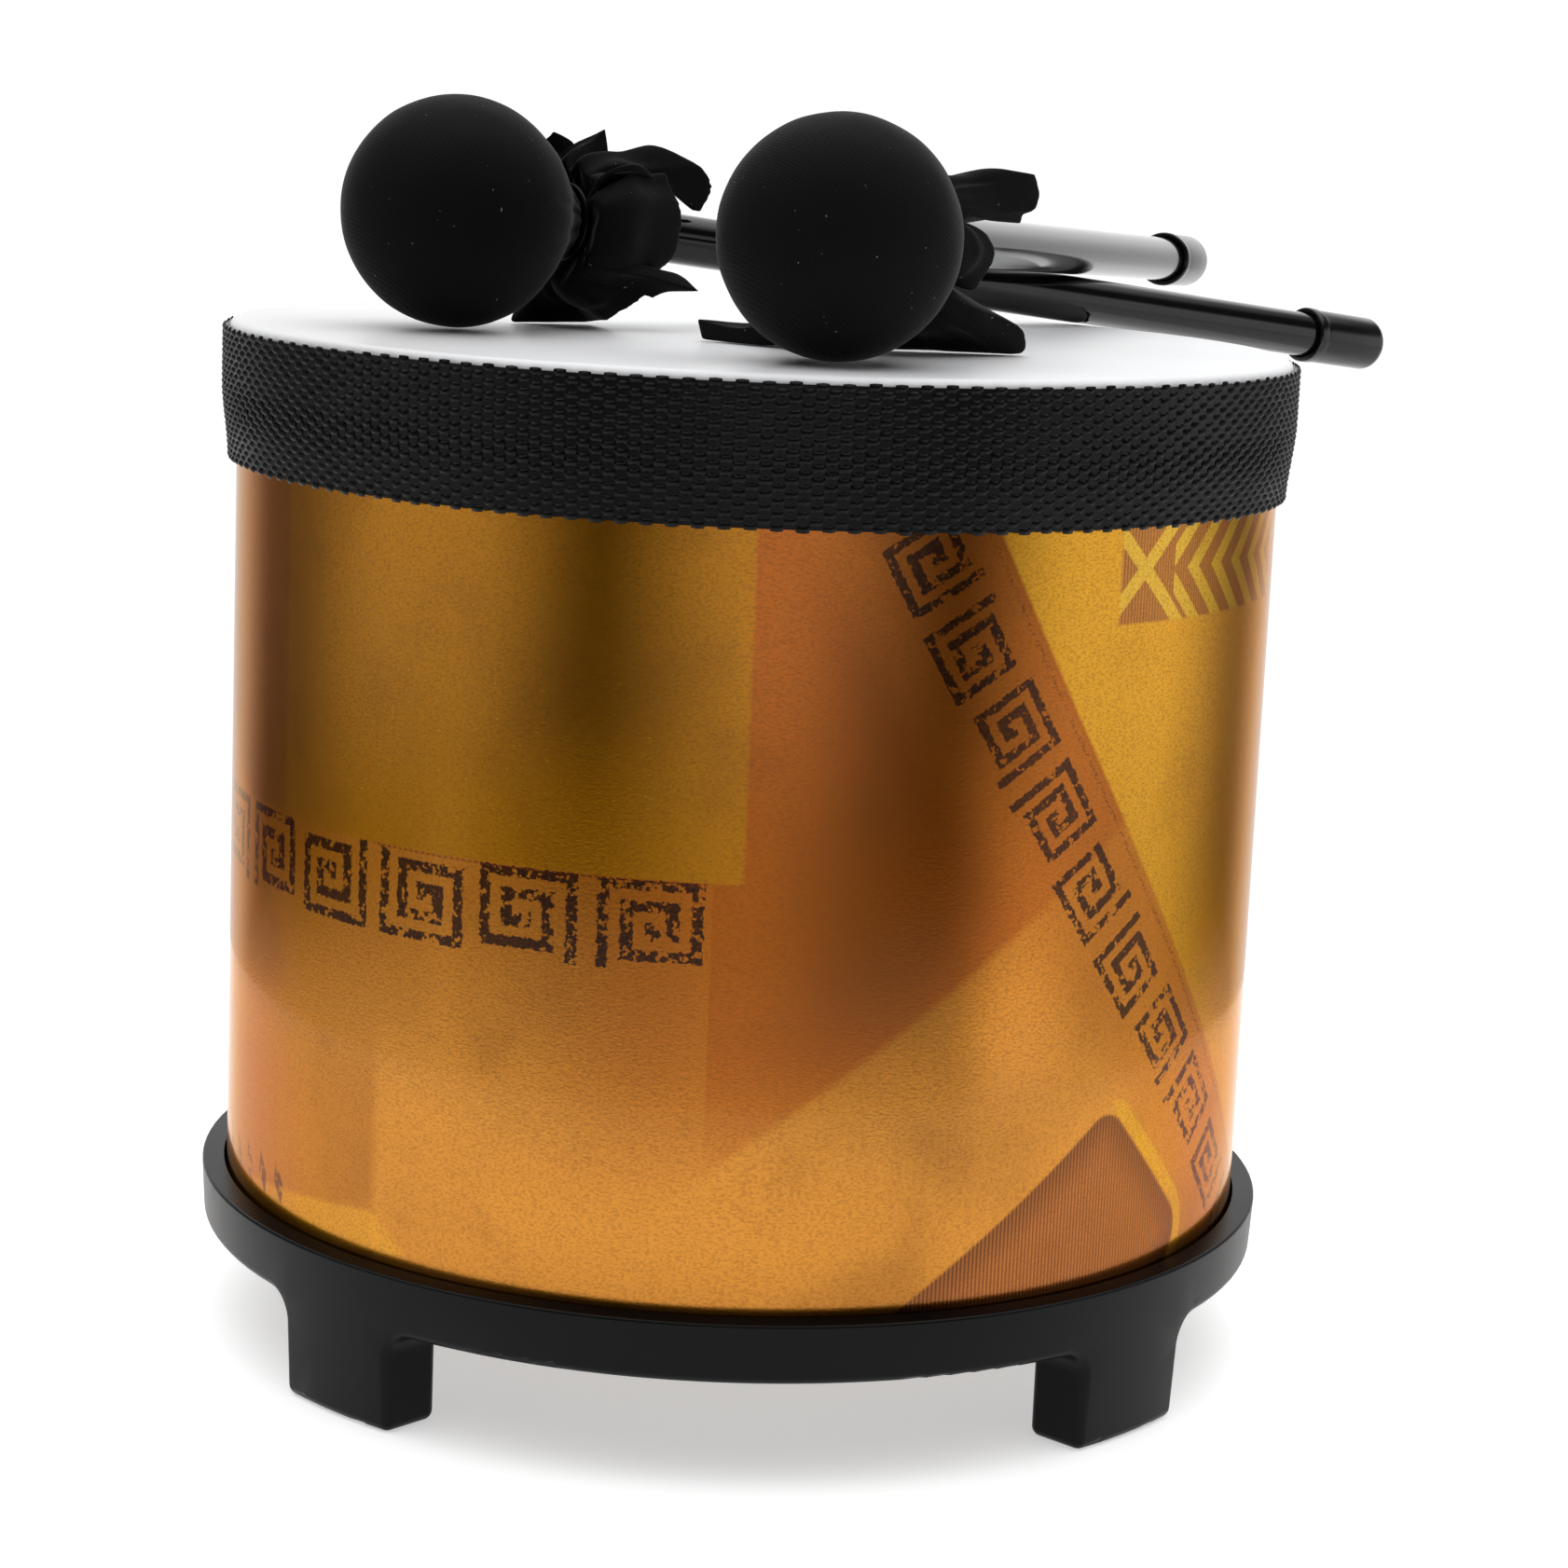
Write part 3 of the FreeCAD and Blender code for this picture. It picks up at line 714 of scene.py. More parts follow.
def dressRing():
    ring = smoothCopy("base_ring", "plastic", 24)
    dress(ring, "drum", "base", "base_ring")


def dressWrap():
    low, high = boxOf("shell_wrap")
    outer, wall = high.x, film["wall"]
    outline = [(outer - wall, low.z), (outer, low.z)]
    outline += [(outer, low.z + (high.z - low.z) * k / 12) for k in range(1, 12)]
    outline += [(outer, high.z), (outer - wall, high.z)]
    wrap = spun("film_wrap", outline, "film", sides=288)
    dress(wrap, "drum", "shell_film", "shell_wrap")


head = {
    "thickness": 0.35,
    "gap": 0.05,       # from the hoop and from the film
    "fold": 1.8,       # the radius at its upper edge
}


def dressHead():
    low, high = boxOf("drumhead")
    hoopLow, hoopHigh = boxOf("head_hoop")
    wrapHigh = boxOf("shell_wrap")[1]
    thick, gap, fold = head["thickness"], head["gap"], head["fold"]
    over = hoopHigh.x + gap
    down = wrapHigh.x + gap
    top, under = high.z, high.z - thick
    inner = [(over, hoopLow.z), (down, low.z), (down + thick, low.z), (over + thick, hoopLow.z)]
    outline = [(0, under)]
    outline += [(over * share, under) for share in (0.35, 0.7)]
    outline += list(reversed(arc(over - fold + thick, under - fold + thick, fold - thick, 0, 90)))
    outline += inner
    outline += arc(over + thick - fold, top - fold, fold, 0, 90)
    outline += [(over * share, top) for share in (0.7, 0.35)]
    outline += [(0, top)]
    skin = spun("head_skin", outline, "head", sides=256)
    dress(skin, "drum", "head", "drumhead")


def finishInside():
    finishNode("drum_shell", "fibre")
    finishNode("head_hoop", "fibre")


# the webbing, a weave of pillow-shaped yarn floats on a tape

webbing = {
    "columns": 290,
    "rows": 11,
    "floatWidth": 2.5,
    "floatHeight": 1.55,
    "floatRise": 0.62,
    "tapeInset": 0.5,       # from the tape's face out to its node's, which leaves room for the floats
    "sink": 0.05,           # how deep the floats sit in the tape
    "skirt": 0.45,          # the head's skirt and the gaps round it, that the tape goes over
    "edge": 0.3,            # how far the tape's two edges stay inside its node's
    "lapHalf": 11.0,        # half the width of the glued lap at the back
    # how unevenly the floats lie: a share of a row's height, a share of their own, and two angles in radians
    "unevenPlace": 0.05, "unevenHeight": 0.06, "unevenTilt": 0.12, "unevenTurn": 0.03,
    "seed": 7,
}


def nodeTree(name, sizes):
    # a Geometry Nodes tree with its named number inputs, its output and its material input
    tree = bpy.data.node_groups.new(name, "GeometryNodeTree")
    tree.interface.new_socket(name="Geometry", in_out="OUTPUT", socket_type="NodeSocketGeometry")
    for key, value in sizes.items():
        kind = "NodeSocketInt" if isinstance(value, int) else "NodeSocketFloat"
        tree.interface.new_socket(name=key, in_out="INPUT", socket_type=kind)
    tree.interface.new_socket(name="material", in_out="INPUT", socket_type="NodeSocketMaterial")
    start = addNode(tree, "NodeGroupInput")
    inputs = {key: Number(tree, start.outputs[key]) for key in sizes}
    return tree, inputs, start.outputs["material"]


def endTree(tree, geometry, material):
    whole = addNode(tree, "GeometryNodeRealizeInstances", {0: geometry})
    smooth = addNode(tree, "GeometryNodeSetShadeSmooth", {0: whole.outputs[0]})
    painted = addNode(tree, "GeometryNodeSetMaterial", {0: smooth.outputs[0], "Material": material})
    addNode(tree, "NodeGroupOutput", {0: painted.outputs[0]})


def grown(name, tree, sizes, finish):
    # runs a tree on an empty mesh and keeps the result as a plain mesh
    piece = newObject(name, bpy.data.meshes.new(name))
    modifier = piece.modifiers.new("grow", "NODES")
    modifier.node_group = tree
    named = {item.name: item.identifier for item in tree.interface.items_tree if item.in_out == "INPUT"}
    for key, value in sizes.items():
        modifier[named[key]] = value
    modifier[named["material"]] = finishes[finish]
    graph = bpy.context.evaluated_depsgraph_get()
    mesh = bpy.data.meshes.new_from_object(piece.evaluated_get(graph), depsgraph=graph)
    piece.modifiers.remove(modifier)
    piece.data = mesh
    mesh.materials.clear()
    mesh.materials.append(finishes[finish])
    return piece


def randomShare(tree, number, seed):
    # from -1 to 1
    inputs = {2: -1.0, 3: 1.0, "ID": number, "Seed": seed}
    return Number(tree, addNode(tree, "FunctionNodeRandomValue", inputs, data_type="FLOAT").outputs[1])


def placed(tree, geometry, position):
    return addNode(tree, "GeometryNodeSetPosition", {"Geometry": geometry, "Position": position}).outputs[0]


def yarnFloat(tree):
    # one float: a small cushion one unit wide and high, domed towards +Z
    inputs = {"Size X": 1.0, "Size Y": 1.0, "Vertices X": 6, "Vertices Y": 5}
    grid = addNode(tree, "GeometryNodeMeshGrid", inputs)
    x, y = parts(tree, addNode(tree, "GeometryNodeInputPosition").outputs[0])[:2]
    domeX = 1 - (x * 2).maths("POWER", 2) * 0.92
    domeY = 1 - (y * 2).maths("POWER", 2) * 0.96
    bulge = vectorOf(tree, x * (1 - abs(y) * 0.25), y * (1 - abs(x) * 0.3), domeX * domeY)
    return placed(tree, grid.outputs["Mesh"], bulge)


def weaveTree(sizes):
    tree, size, material = nodeTree("webbing_weave", sizes)
    points = addNode(tree, "GeometryNodePoints", {"Count": size["columns"] * size["rows"]})
    index = Number(tree, addNode(tree, "GeometryNodeInputIndex").outputs[0])
    column = (index / size["rows"]).maths("FLOOR")
    row = index - column * size["rows"]
    odd = column - (column / 2).maths("FLOOR") * 2
    pitch = (size["top"] - size["bottom"]) / size["rows"]
    jitter = randomShare(tree, index, size["seed"])
    height = size["bottom"] + (row + 0.25 + odd * 0.5 + jitter * webbing["unevenPlace"]) * pitch
    turn = column / size["columns"] * math.tau
    lap = 1 - rise(abs(turn - math.pi), size["lapHalf"], size["lapHalf"] + 0.002)
    flare = rise(height, size["bottom"], size["foldHeight"])
    radius = size["lowRadius"] + (size["highRadius"] - size["lowRadius"]) * flare + lap * size["lapRise"]
    place = vectorOf(tree, radius * turn.maths("SINE"), -(radius * turn.maths("COSINE")), height)
    tilt = randomShare(tree, index, size["seed"] + 3)
    lean = tilt * webbing["unevenTilt"] + math.pi / 2
    rotation = vectorOf(tree, lean, 0.0, turn + jitter * webbing["unevenTurn"])
    tall = size["floatHeight"] + tilt * size["floatHeight"] * webbing["unevenHeight"]
    copies = addNode(tree, "GeometryNodeInstanceOnPoints", {
        "Points": placed(tree, points.outputs[0], place),
        "Instance": yarnFloat(tree),
        "Rotation": rotation,
        "Scale": vectorOf(tree, size["floatWidth"], tall, size["floatRise"]),
    })
    endTree(tree, copies.outputs[0], material)
    return tree


def dressWebbing():
    low, high = boxOf("webbing_band")
    hoopLow, hoopHigh = boxOf("head_hoop")
    wrapHigh = boxOf("shell_wrap")[1]
    upper = hoopHigh.x + webbing["skirt"]
    lower = wrapHigh.x + webbing["skirt"]
    face = high.x - upper - webbing["tapeInset"]
    edge, sink = webbing["edge"], webbing["sink"]

    def tapeOutline(shift):
        return [
            (lower + shift, low.z + edge), (lower + shift + face, low.z + edge),
            (upper + shift + face, hoopLow.z), (upper + shift + face, high.z - edge),
            (upper + shift, high.z - edge), (upper + shift, hoopLow.z),
        ]

    lapHalf = webbing["lapHalf"] / upper
    tape = spun("webbing_tape", tapeOutline(0), "yarn", sides=288)
    lap = spun("webbing_lap", tapeOutline(face), "yarn", sides=24, span=2 * lapHalf,
               start=math.pi / 2 - lapHalf)
    sizes = {
        "columns": webbing["columns"], "rows": webbing["rows"], "seed": webbing["seed"],
        "bottom": low.z * mm, "top": high.z * mm, "foldHeight": hoopLow.z * mm,
        "lowRadius": (lower + face - sink) * mm, "highRadius": (upper + face - sink) * mm,
        "floatWidth": webbing["floatWidth"] * mm, "floatHeight": webbing["floatHeight"] * mm,
        "floatRise": webbing["floatRise"] * mm,
        "lapHalf": lapHalf, "lapRise": face * mm,
    }
    weave = grown("webbing_weave", weaveTree(sizes), sizes, "yarn")
    dress(tape, "drum", "webbing", "webbing_band")
    dress(lap, "drum", "webbing")
    dress(weave, "drum", "webbing")


# the mallets

mallet = {
    # along the shaft from the ball's middle, and outwards from the shaft's axis
    "tieFromBall": 25.45, "tieThickness": 1.8,
    "ballRadius": 21.87, "ballDrop": 1.1, "coreRoom": 20.05,
    "neckStart": 13.5, "neckStartRadius": 15.5, "neckEnd": 24.5, "neckEndRadius": 6.9,
    "neckBlend": 0.8, "neckTight": 0.15,
    "sleeveRadius": 6.1, "sleeveEnd": 26.3,
    "shaftRadius": 5.0, "shaftWall": 1.0, "shaftStart": -11.0, "shaftEnd": 256.0,
    "capStart": 235.0, "capEnd": 258.0, "capRadius": 6.0, "capEndRound": 3.0, "capFloor": 1.95,
    "lipRadius": 6.25, "lipLength": 2.8, "lipRound": 0.55, "lipChamfer": 0.3,
    "slip": 0.05,            # the gap round what slides on
    "seeds": {"mallet_left": 3, "mallet_right": 8},
}


def malletPlace(name):
    # X of the place is the mallet's upper side, Y its right side and Z the way the shaft points
    tie, shaft = (sum(boxOf(name + part), Vector()) / 2 for part in ("_tie", "_shaft"))
    way = (shaft - tie).normalized()
    side = way.cross(Vector((0, 0, 1))).normalized()
    place = Matrix((side.cross(way), side, way)).transposed().to_4x4()
    place.translation = tie - way * mallet["tieFromBall"]
    return place


def softStep(value, low, high):
    share = min(max((value - low) / (high - low), 0), 1)
    return share * share * (3 - 2 * share)


def hump(value, rising, falling):
    # up from 0 to 1 over the first span and down again over the second
    return softStep(value, *rising) * (1 - softStep(value, *falling))


cover = {
    "sides": 200,
    "ringDegrees": 2.6, "ballRings": 49, "neckRings": 22,
    "creases": 19, "creaseDepth": 1.0, "creaseWidth": 0.85,
    "creaseDrift": 0.7,             # of the room between two
    "creaseStart": (4, 13),         # along the shaft: where the first starts, and how much later the last
    "creaseEnd": 23,
    "lumps": 0.12,
    # the cloth simulation
    "pressure": 60.0, "stiffness": 10.0, "bending": 0.02, "weight": 0.1,
    "quality": 6, "frames": 14,
    "loose": ((2, 10), (20, 24)),   # along the shaft: the knit is free to move between these
    "reach": 0.7,                   # the most that a point may move
}


def coverRadius(along):
    start, end = mallet["neckStart"], mallet["neckEnd"]
    startRadius, endRadius = mallet["neckStartRadius"], mallet["neckEndRadius"]
    ball = math.sqrt(max(mallet["ballRadius"] ** 2 - along ** 2, 0))
    if along < start:
        return ball
    slope = (endRadius - startRadius) / (end - start)
    cone = startRadius + (along - start) * slope
    joined = (ball + cone + math.sqrt((ball - cone) ** 2 + mallet["neckBlend"])) / 2
    sleeve = mallet["sleeveRadius"] + 0.1
    return max(joined - mallet["neckTight"] if along < end else sleeve, sleeve)


def creaseList():
    # each crease: its angle, how far down the ball it reaches and how deep it is
    creases = []
    first, later = cover["creaseStart"]
    for k in range(cover["creases"]):
        drift, reach, depth = (noise.random() for _ in range(3))
        turn = math.tau * (k + cover["creaseDrift"] * drift) / cover["creases"]
        creases.append((turn, first + later * reach ** 0.6, cover["creaseDepth"] * (0.45 + 0.75 * depth)))
    return creases


def creaseDepth(creases, along, turn, radius):
    total = 0
    for middle, start, depth in creases:
        away = (turn - middle + math.pi) % math.tau - math.pi
        narrow = math.exp(-(away * radius / cover["creaseWidth"]) ** 2)
        total += depth * narrow * softStep(along, start, cover["creaseEnd"])
    return total


def fillCover(knitted, place):
    # the knit between the gathers is blown up like cloth with its padding in, and the neck is held
    away = place.inverted()
    loose = [hump((away @ (vertex.co / mm)).z, *cover["loose"]) for vertex in knitted.data.vertices]
    held = knitted.vertex_groups.new(name="held")
    for index, share in enumerate(loose):
        held.add([index], 1 - share, "REPLACE")
    cloth = knitted.modifiers.new("cloth", "CLOTH")
    fabric = cloth.settings
    fabric.quality = cover["quality"]
    fabric.mass = cover["weight"]
    fabric.tension_stiffness = cover["stiffness"]
    fabric.compression_stiffness = cover["stiffness"]
    fabric.shear_stiffness = cover["stiffness"]
    fabric.bending_stiffness = cover["bending"]
    fabric.vertex_group_mass = "held"
    fabric.use_pressure = True
    fabric.uniform_pressure_force = cover["pressure"]
    fabric.effector_weights.gravity = 0
    cloth.collision_settings.use_collision = False
    cloth.point_cache.frame_end = cover["frames"]
    for frameNumber in range(1, cover["frames"] + 1):
        bpy.context.scene.frame_set(frameNumber)
    shape = knitted.evaluated_get(bpy.context.evaluated_depsgraph_get()).to_mesh()
    moves = [new.co - old.co for new, old in zip(shape.vertices, knitted.data.vertices)]
    print(knitted.name, "swelled up to", round(max(move.length for move in moves) / mm, 2), "mm")
    knitted.modifiers.remove(cloth)
    knitted.vertex_groups.remove(held)
    reach = cover["reach"] * mm
    for vertex, move, share in zip(knitted.data.vertices, moves, loose):
        vertex.co += move * share * min(1, reach / max(move.length, mm * 0.001))
    bpy.context.scene.frame_set(1)


def outerRing(along, creases, bore, seed):
    # one ring of the knit; the neck lies on the shaft's axis, and the ball hangs a little lower
    sink = -mallet["ballDrop"] * (1 - softStep(along, 10, mallet["neckEnd"] - 2))
    full, ring = coverRadius(along), []
    for k in range(cover["sides"]):
        turn = math.tau * k / cover["sides"]
        spot = Vector((math.cos(turn) * full, math.sin(turn) * full, along))
        lump = noise.noise(spot * 0.16 + Vector((seed, 0, 0))) * cover["lumps"] * softStep(full, 5, 10)
        crease = creaseDepth(creases, along, turn, full) if along > 3 else 0
        radius = full - crease + lump
        if along > 0:
            radius = max(radius, bore + 0.3)
        ring.append(Vector((sink + radius * math.cos(turn), radius * math.sin(turn), along)))
    return ring


def innerRing(radius, along):
    turns = [math.tau * k / cover["sides"] for k in range(cover["sides"])]
    return [Vector((radius * math.cos(turn), radius * math.sin(turn), along)) for turn in turns]


def joinRings(low, high, count):
    # faces between two rings of points, given the first point of each
    return [[low + k, low + (k + 1) % count, high + (k + 1) % count, high + k] for k in range(count)]


def dressCover(name, place, seed):
    noise.seed_set(seed)
    creases = creaseList()
    ball, room, end = mallet["ballRadius"], mallet["coreRoom"], mallet["sleeveEnd"]
    sides, rows = cover["sides"], cover["neckRings"]
    bore = mallet["shaftRadius"] + mallet["slip"]
    step, ballRings = cover["ringDegrees"], cover["ballRings"]
    alongs = [-ball * math.cos(math.radians(step * k)) for k in range(1, ballRings + 1)]
    alongs += [alongs[-1] + (end - alongs[-1]) * k / rows for k in range(1, rows + 1)]
    inside = [(bore, end), (bore, math.sqrt(room ** 2 - bore ** 2))]
    inside += [(room * math.sin(t), room * math.cos(t)) for t in map(math.radians, range(20, 175, 8))]
    rings = [outerRing(along, creases, bore, seed) for along in alongs]
    rings += [innerRing(radius, along) for radius, along in inside]
    points = [Vector((-mallet["ballDrop"], 0, -ball))] + [point for ring in rings for point in ring]
    faces = [[0, 1 + k, 1 + (k + 1) % sides] for k in range(sides)]
    for n in range(1, len(rings)):
        faces += joinRings(1 + (n - 1) * sides, 1 + n * sides, sides)
    last = len(points)
    points.append(Vector((0, 0, -room)))
    faces += [[last - sides + k, last - sides + (k + 1) % sides, last] for k in range(sides)]
    knitted = pieceFrom(name + "_cover_cloth", [place @ p for p in points], faces, "knit", 60)
    fillCover(knitted, place)
    dress(knitted, name, "mallet_cloth", name + "_cover")


def dressShaft(name, place):
    radius, wall = mallet["shaftRadius"], mallet["shaftWall"]
    start, end = mallet["shaftStart"], mallet["shaftEnd"]
    outline = [(radius - wall, start), (radius, start)]
    outline += [(radius, start + (end - start) * k / 24) for k in range(1, 24)]
    outline += [(radius, end), (radius - wall, end)]
    tube = spun(name + "_tube", outline, "tube", place, sides=72)
    dress(tube, name, "mallet_shaft", name + "_shaft")


def dressCap(name, place):
    start, end, radius = mallet["capStart"], mallet["capEnd"], mallet["capRadius"]
    lip, lipEnd, curve = mallet["lipRadius"], start + mallet["lipLength"], mallet["lipRound"]
    bore, floor = mallet["shaftRadius"] + mallet["slip"], end - mallet["capFloor"]
    rounding, chamfer = mallet["capEndRound"], mallet["lipChamfer"]
    outline = [(0, floor), (bore, floor), (bore, start + chamfer), (bore + chamfer, start)]
    outline += arc(lip - curve, start + curve, curve, -90, 0, 4)
    outline += arc(lip - curve, lipEnd - curve, curve, 0, 60, 4)
    outline += [(radius - 0.12, lipEnd), (radius - 0.05, lipEnd + 0.5), (radius, lipEnd + 1.2)]
    outline += [(radius, end - rounding - 6)]
    outline += arc(radius - rounding, end - rounding, rounding, 0, 90, 8)
    outline += [(1.4, end), (0, end - 0.25)]
    cap = spun(name + "_cap", outline, "cap", place, sides=72, sharpDegrees=40)
    dress(cap, name, "grip_cap", name + "_grip_cap")


def dressTie(name, place):
    # the elastic: two turns of cord side by side, drawn as one ring with a groove round it
    thick, groove, steps = mallet["tieThickness"], 0.22, 20
    middle = mallet["sleeveRadius"] + mallet["slip"] + thick / 2
    along = mallet["tieFromBall"]
    outline = []
    for k in range(steps):
        turn = math.tau * k / steps
        waist = 1 - groove * math.cos(turn) ** 8
        outline.append((middle + thick / 2 * waist * math.cos(turn), along + thick / 2 * math.sin(turn)))
    band = spun(name + "_elastic", outline, "yarn", place, sides=64, sharpDegrees=80)
    dress(band, name, "mallet_tie", name + "_tie")


# The free cloth beyond the tie. Each point of its hem says how far it is along the shaft, up, and to the
# right, seen from the ball. After these come, where they aren't as usual, how far the cloth puffs out
# before it, and 1 where the hem turns a sharp corner. The points go round from the top over the right.

tails = {
    "mallet_left": [
        (26, 13, -5), (33.5, 19.3, -2, 1, 1), (34.5, 13.5, -1), (36, 12.5, 0), (41, 16.8, 2),
        (47, 16.2, 4), (52, 14.4, 5.4), (55, 12.2, 5.2), (56, 9.6, 4.6, 3), (55.2, 5.8, 3, 7, 1),
        (54, 5.8, 2.4, 8, 1), (51.8, 7.2, 2.6, 7), (48, 10, 2.4, 4), (42, 8, 1, 0), (43, 12, 6, 2),
        (44, 9.6, 7.2, 3), (45.8, 6.6, 8.2, 4), (47.4, 2.2, 7.8, 4.5), (47, -3, 7.6, 4.5),
        (45.5, -6, 6, 4), (43, -7.5, 6, 3), (46, -7.2, 11), (48.5, -9.8, 14.5, 1, 1), (44, -10.6, 11),
        (41.5, -12.3, 9.5, 1, 1), (40, -11.8, 9), (38.5, -13.5, 8, 2), (37, -15.5, 6, 2),
        (38, -17.5, 0, 2), (40, -18.3, -8), (36, -19.2, -10), (30, -20.2, -12), (24, -20.8, -12.5),
        (30, -12, -16, 2), (38, -8, -19, 2), (43, -2, -17, 2), (41, 4, -15), (36, 4, -9, 0),
        (40, 8, -13), (36, 13, -11), (31, 12, -9), (30, 8, -6, 0), (24, 13, -9), (25, 16.8, -7, 1, 1),
        (28, 15.8, -5), (28.5, 14.5, -4.5), (28.5, 9, -3, 0),
    ],
    "mallet_right": [
        (38, 13, 14), (43, 13, 19.5, 0), (46, 12.8, 21.7, 0, 1), (47, 9.5, 22.6, 0), (46.5, 6.5, 22, 0),
        (45, 5.4, 20.2), (46, 3.8, 19.4, 1, 1), (43.5, 4.6, 17.4), (41, 4.2, 15), (37, 3.2, 11.5),
        (33, 2.6, 9, 0), (35, 3, 12.5, 2), (37, 1.5, 15.5, 2), (37.5, -1.5, 17.3, 2), (37.5, -4, 17, 2),
        (36.5, -7, 15.5, 2), (35, -9, 14), (31, -7.5, 9, 0), (40, -11.5, 14), (47, -15, 19.5),
        (50, -16.5, 20.5), (52, -19.5, 20.3), (52, -21.5, 18, 1, 1), (50, -21.5, 12), (46, -21.2, 4),
        (41, -21, -4), (34, -17, -8, 0), (38, -21.8, -20), (37, -21.8, -28), (36, -21.6, -38.5, 1, 1),
        (35.5, -17.6, -39.7, 1, 1), (35, -17.8, -30), (33, -17.5, -20), (32, -13, -12, 0),
        (38, -8, -16, 2), (42, -2, -18, 2), (41, 4, -16), (36, 6, -12), (31, 5, -7, 0),
        (36, 12, -10, 2), (41, 13, -4, 2), (40, 13, 3), (33, 9.5, 3, 0),
    ],
}

tailCloth = {
    "start": 26.9,
    "startRadius": 5.8,
    "puff": 1.0,
    # places from the neck to the hem are shares from 0 to 1
    "collar": 2.6, "collarSpan": ((0.02, 0.16), (0.35, 0.8)),      # how far it stands round the elastic
    "turnBack": 3.0, "turnBackSpan": ((0.04, 0.2), (0.24, 0.5)),   # how far it comes back over it
    "pleats": 15, "pleatDepth": 0.4, "pleatFade": 0.12,
    "hang": 1.8,             # over 1 the cloth goes outwards first and then along the shaft
    "perPoint": 6,
    "rows": 20,
    "thickness": 0.4,
    "tension": 0.42,
    "ripple": 0.9,
    "hemFray": 0.8,
    "sag": 6.5, "sagSpan": (18, 34),
    "headGap": 0.45,
    "shaftGap": 0.5,
}


def roundTrip(points, perPoint, tension):
    # a closed line through the points, smooth but for the sharp corners
    count, line = len(points), []
    for k in range(count):
        before, start, end, after = (Vector(points[(k + n) % count]) for n in (-1, 0, 1, 2))
        leave = (end - before) * tension * (1 - start[4])
        arrive = (after - start) * tension * (1 - end[4])
        for n in range(perPoint):
            t = n / perPoint
            line.append(start * (2 * t ** 3 - 3 * t ** 2 + 1) + leave * (t ** 3 - 2 * t ** 2 + t)
                        + end * (3 * t ** 2 - 2 * t ** 3) + arrive * (t ** 3 - t ** 2))
    return line


def hemOf(name):
    points = [point + (tailCloth["puff"], 0)[len(point) - 3:] for point in tails[name]]
    return roundTrip(points, tailCloth["perPoint"], tailCloth["tension"])


def neckTurns(hem):
    # where each hem point's thread leaves the neck: the cloth is gathered evenly round it
    lengths = [(Vector(hem[k][:3]) - Vector(hem[k - 1][:3])).length for k in range(len(hem))]
    total, way, turns = sum(lengths), 0, []
    for length in lengths:
        way += length
        turns.append(math.tau * way / total)
    apart = [math.atan2(point[2], point[1]) - turn for point, turn in zip(hem, turns)]
    shift = math.atan2(sum(math.sin(angle) for angle in apart), sum(math.cos(angle) for angle in apart))
    return [turn + shift for turn in turns]


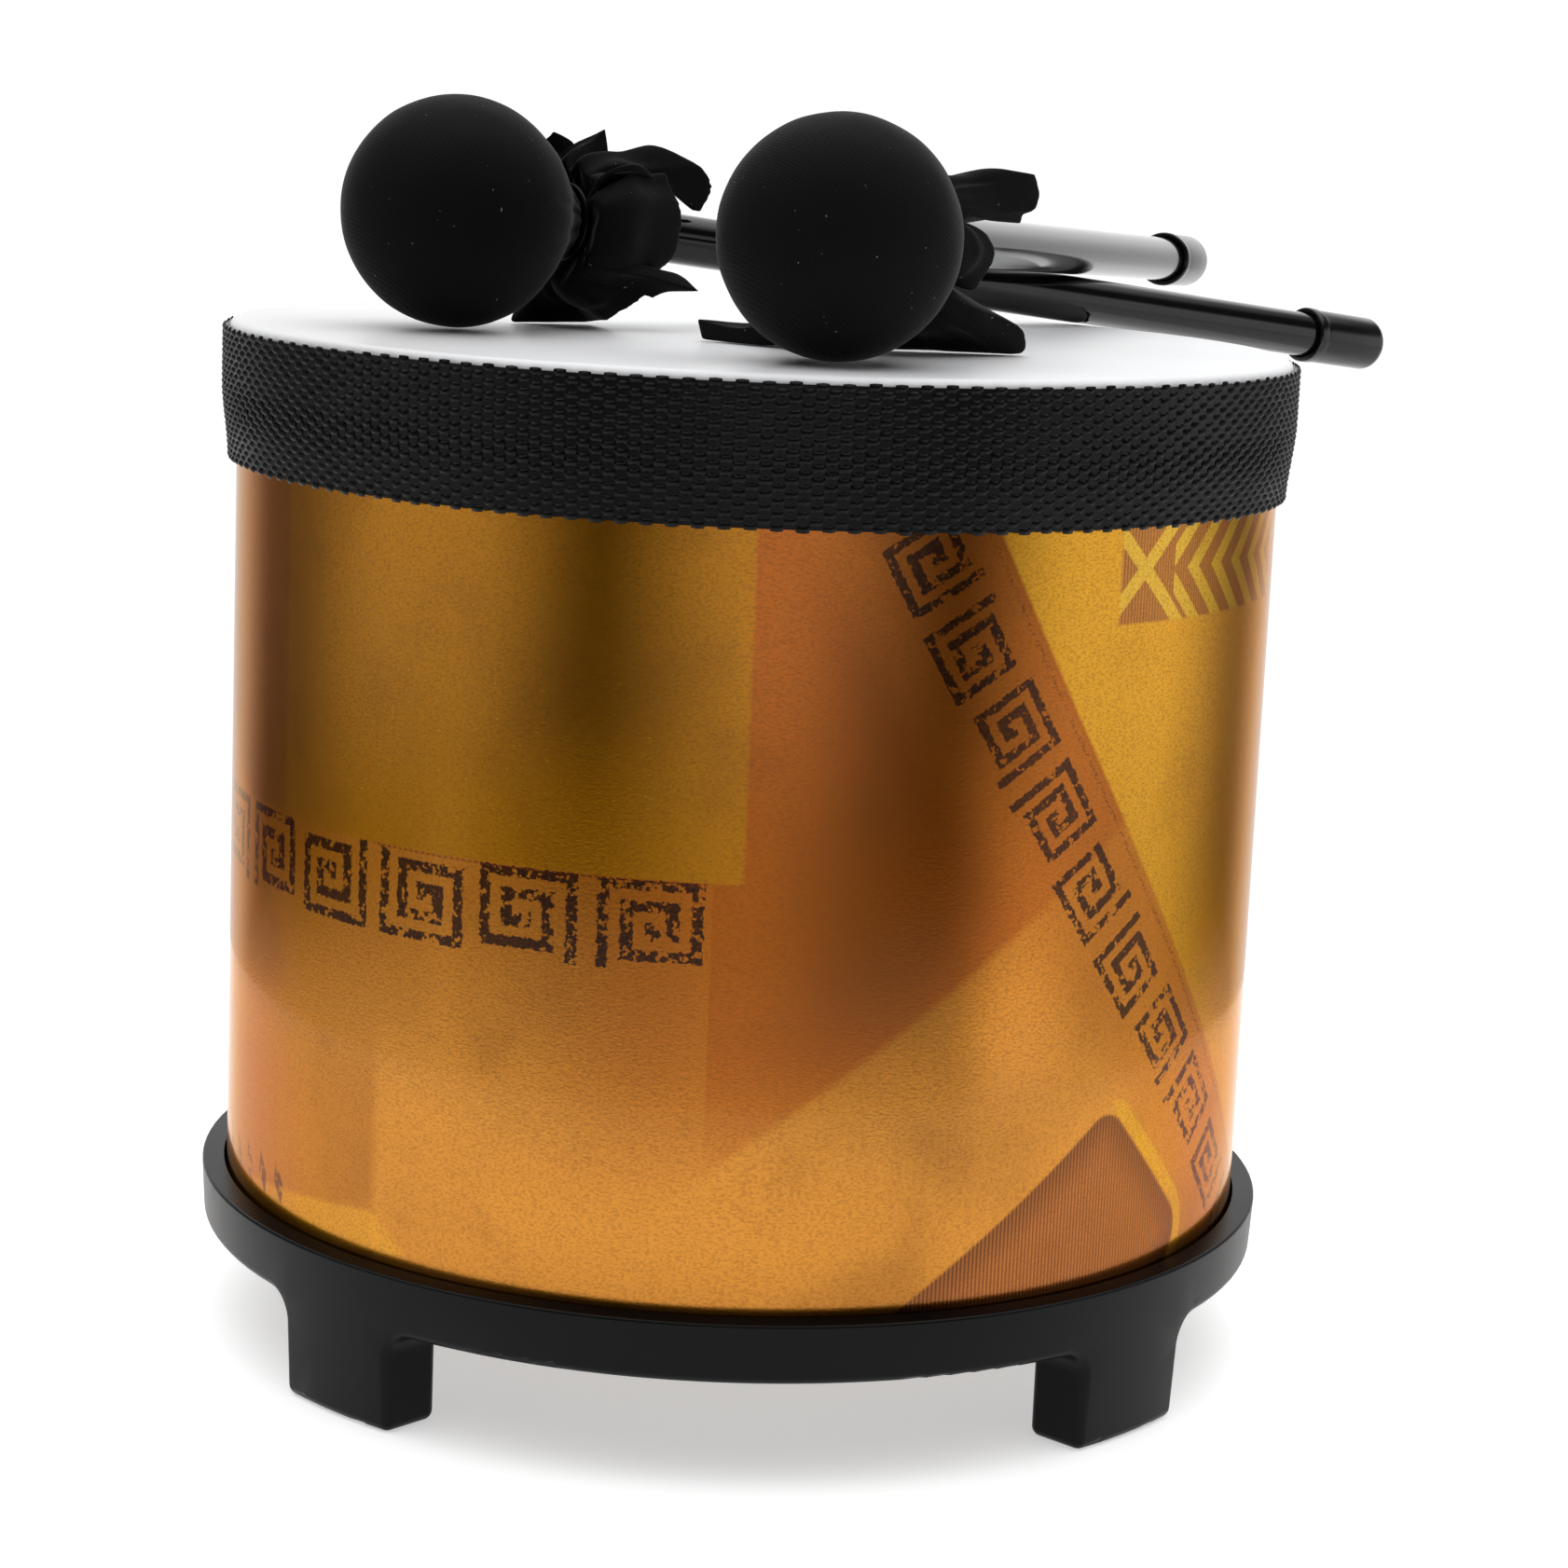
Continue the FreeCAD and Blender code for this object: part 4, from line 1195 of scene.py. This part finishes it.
def tailPoint(hemPoint, turn, share, seed):
    along, up, right, puff = hemPoint[:4]
    start = tailCloth["startRadius"]
    spot = Vector((start * math.cos(turn), start * math.sin(turn), 0))
    spot = spot + (Vector((up, right, 0)) - spot) * share
    outward = spot.normalized()
    ripple = noise.noise(Vector((math.cos(turn) * 5, math.sin(turn) * 5, share * 2.2 + seed)))
    creases = noise.noise(Vector((turn * 7, share * 1.5, seed)))
    pleat = tailCloth["pleatDepth"] * math.sin(turn * tailCloth["pleats"] + seed)
    back = hump(share, *tailCloth["turnBackSpan"])
    away = hump(share, *tailCloth["collarSpan"]) * tailCloth["collar"] + puff * math.sin(math.pi * share)
    away += (ripple + creases * 0.5) * tailCloth["ripple"] * math.sin(math.pi * min(share, 0.85))
    away += pleat * (math.exp(-share / tailCloth["pleatFade"]) + back * 1.2)
    spot = spot + outward * away
    # what reaches far to the left sags onto the head
    spot.x -= tailCloth["sag"] * softStep(-right, *tailCloth["sagSpan"]) * math.sin(math.pi * share)
    start = tailCloth["start"]
    spot.z = start + (along - start) * share ** tailCloth["hang"] - back * tailCloth["turnBack"]
    return spot


def keepClear(point, place, floor):
    # outside the shaft, and above the head
    distance = math.hypot(point.x, point.y)
    nearest = mallet["shaftRadius"] + tailCloth["shaftGap"]
    if distance < nearest:
        point.x, point.y = point.x * nearest / distance, point.y * nearest / distance
    spot = place @ point
    spot.z = max(spot.z, floor)
    return spot


def dressTail(name, place, seed):
    hem = hemOf(name)
    turns = neckTurns(hem)
    count, rows = len(hem), tailCloth["rows"]
    floor = boxOf("drumhead")[1].z + tailCloth["headGap"]
    points, faces = [], []
    for j in range(rows + 1):
        for k, hemPoint in enumerate(hem):
            point = tailPoint(hemPoint, turns[k], j / rows, seed)
            if j == rows:
                point.z += noise.noise(Vector((k * 0.83, seed, 0))) * tailCloth["hemFray"]
            points.append(keepClear(point, place, floor))
    for j in range(rows):
        faces += joinRings(j * count, (j + 1) * count, count)
    tail = pieceFrom(name + "_free_cloth", points, faces, "looseCloth", 180, closed=False)
    area = sum(face.area for face in tail.data.polygons)
    wall = tail.modifiers.new("cloth thickness", "SOLIDIFY")
    wall.thickness = tailCloth["thickness"] * mm
    wall.offset = 0
    finer = tail.modifiers.new("finer", "SUBSURF")
    finer.levels = finer.render_levels = 1
    dress(tail, name, "mallet_cloth", name + "_cover_tail")
    print(name, "free cloth", round(area * 1e6), "mm2")


def dressMallet(name, seed):
    place = malletPlace(name)
    finishNode(name + "_core", "wood")
    dressCover(name, place, seed)
    dressShaft(name, place)
    dressCap(name, place)
    dressTie(name, place)
    dressTail(name, place, seed)
    print(name, "dressed")


placeCamera()
lightStudio()
layFloor()
dressRing()
dressWrap()
dressHead()
finishInside()
dressWebbing()
print("drum dressed")
for malletName, malletSeed in mallet["seeds"].items():
    dressMallet(malletName, malletSeed)
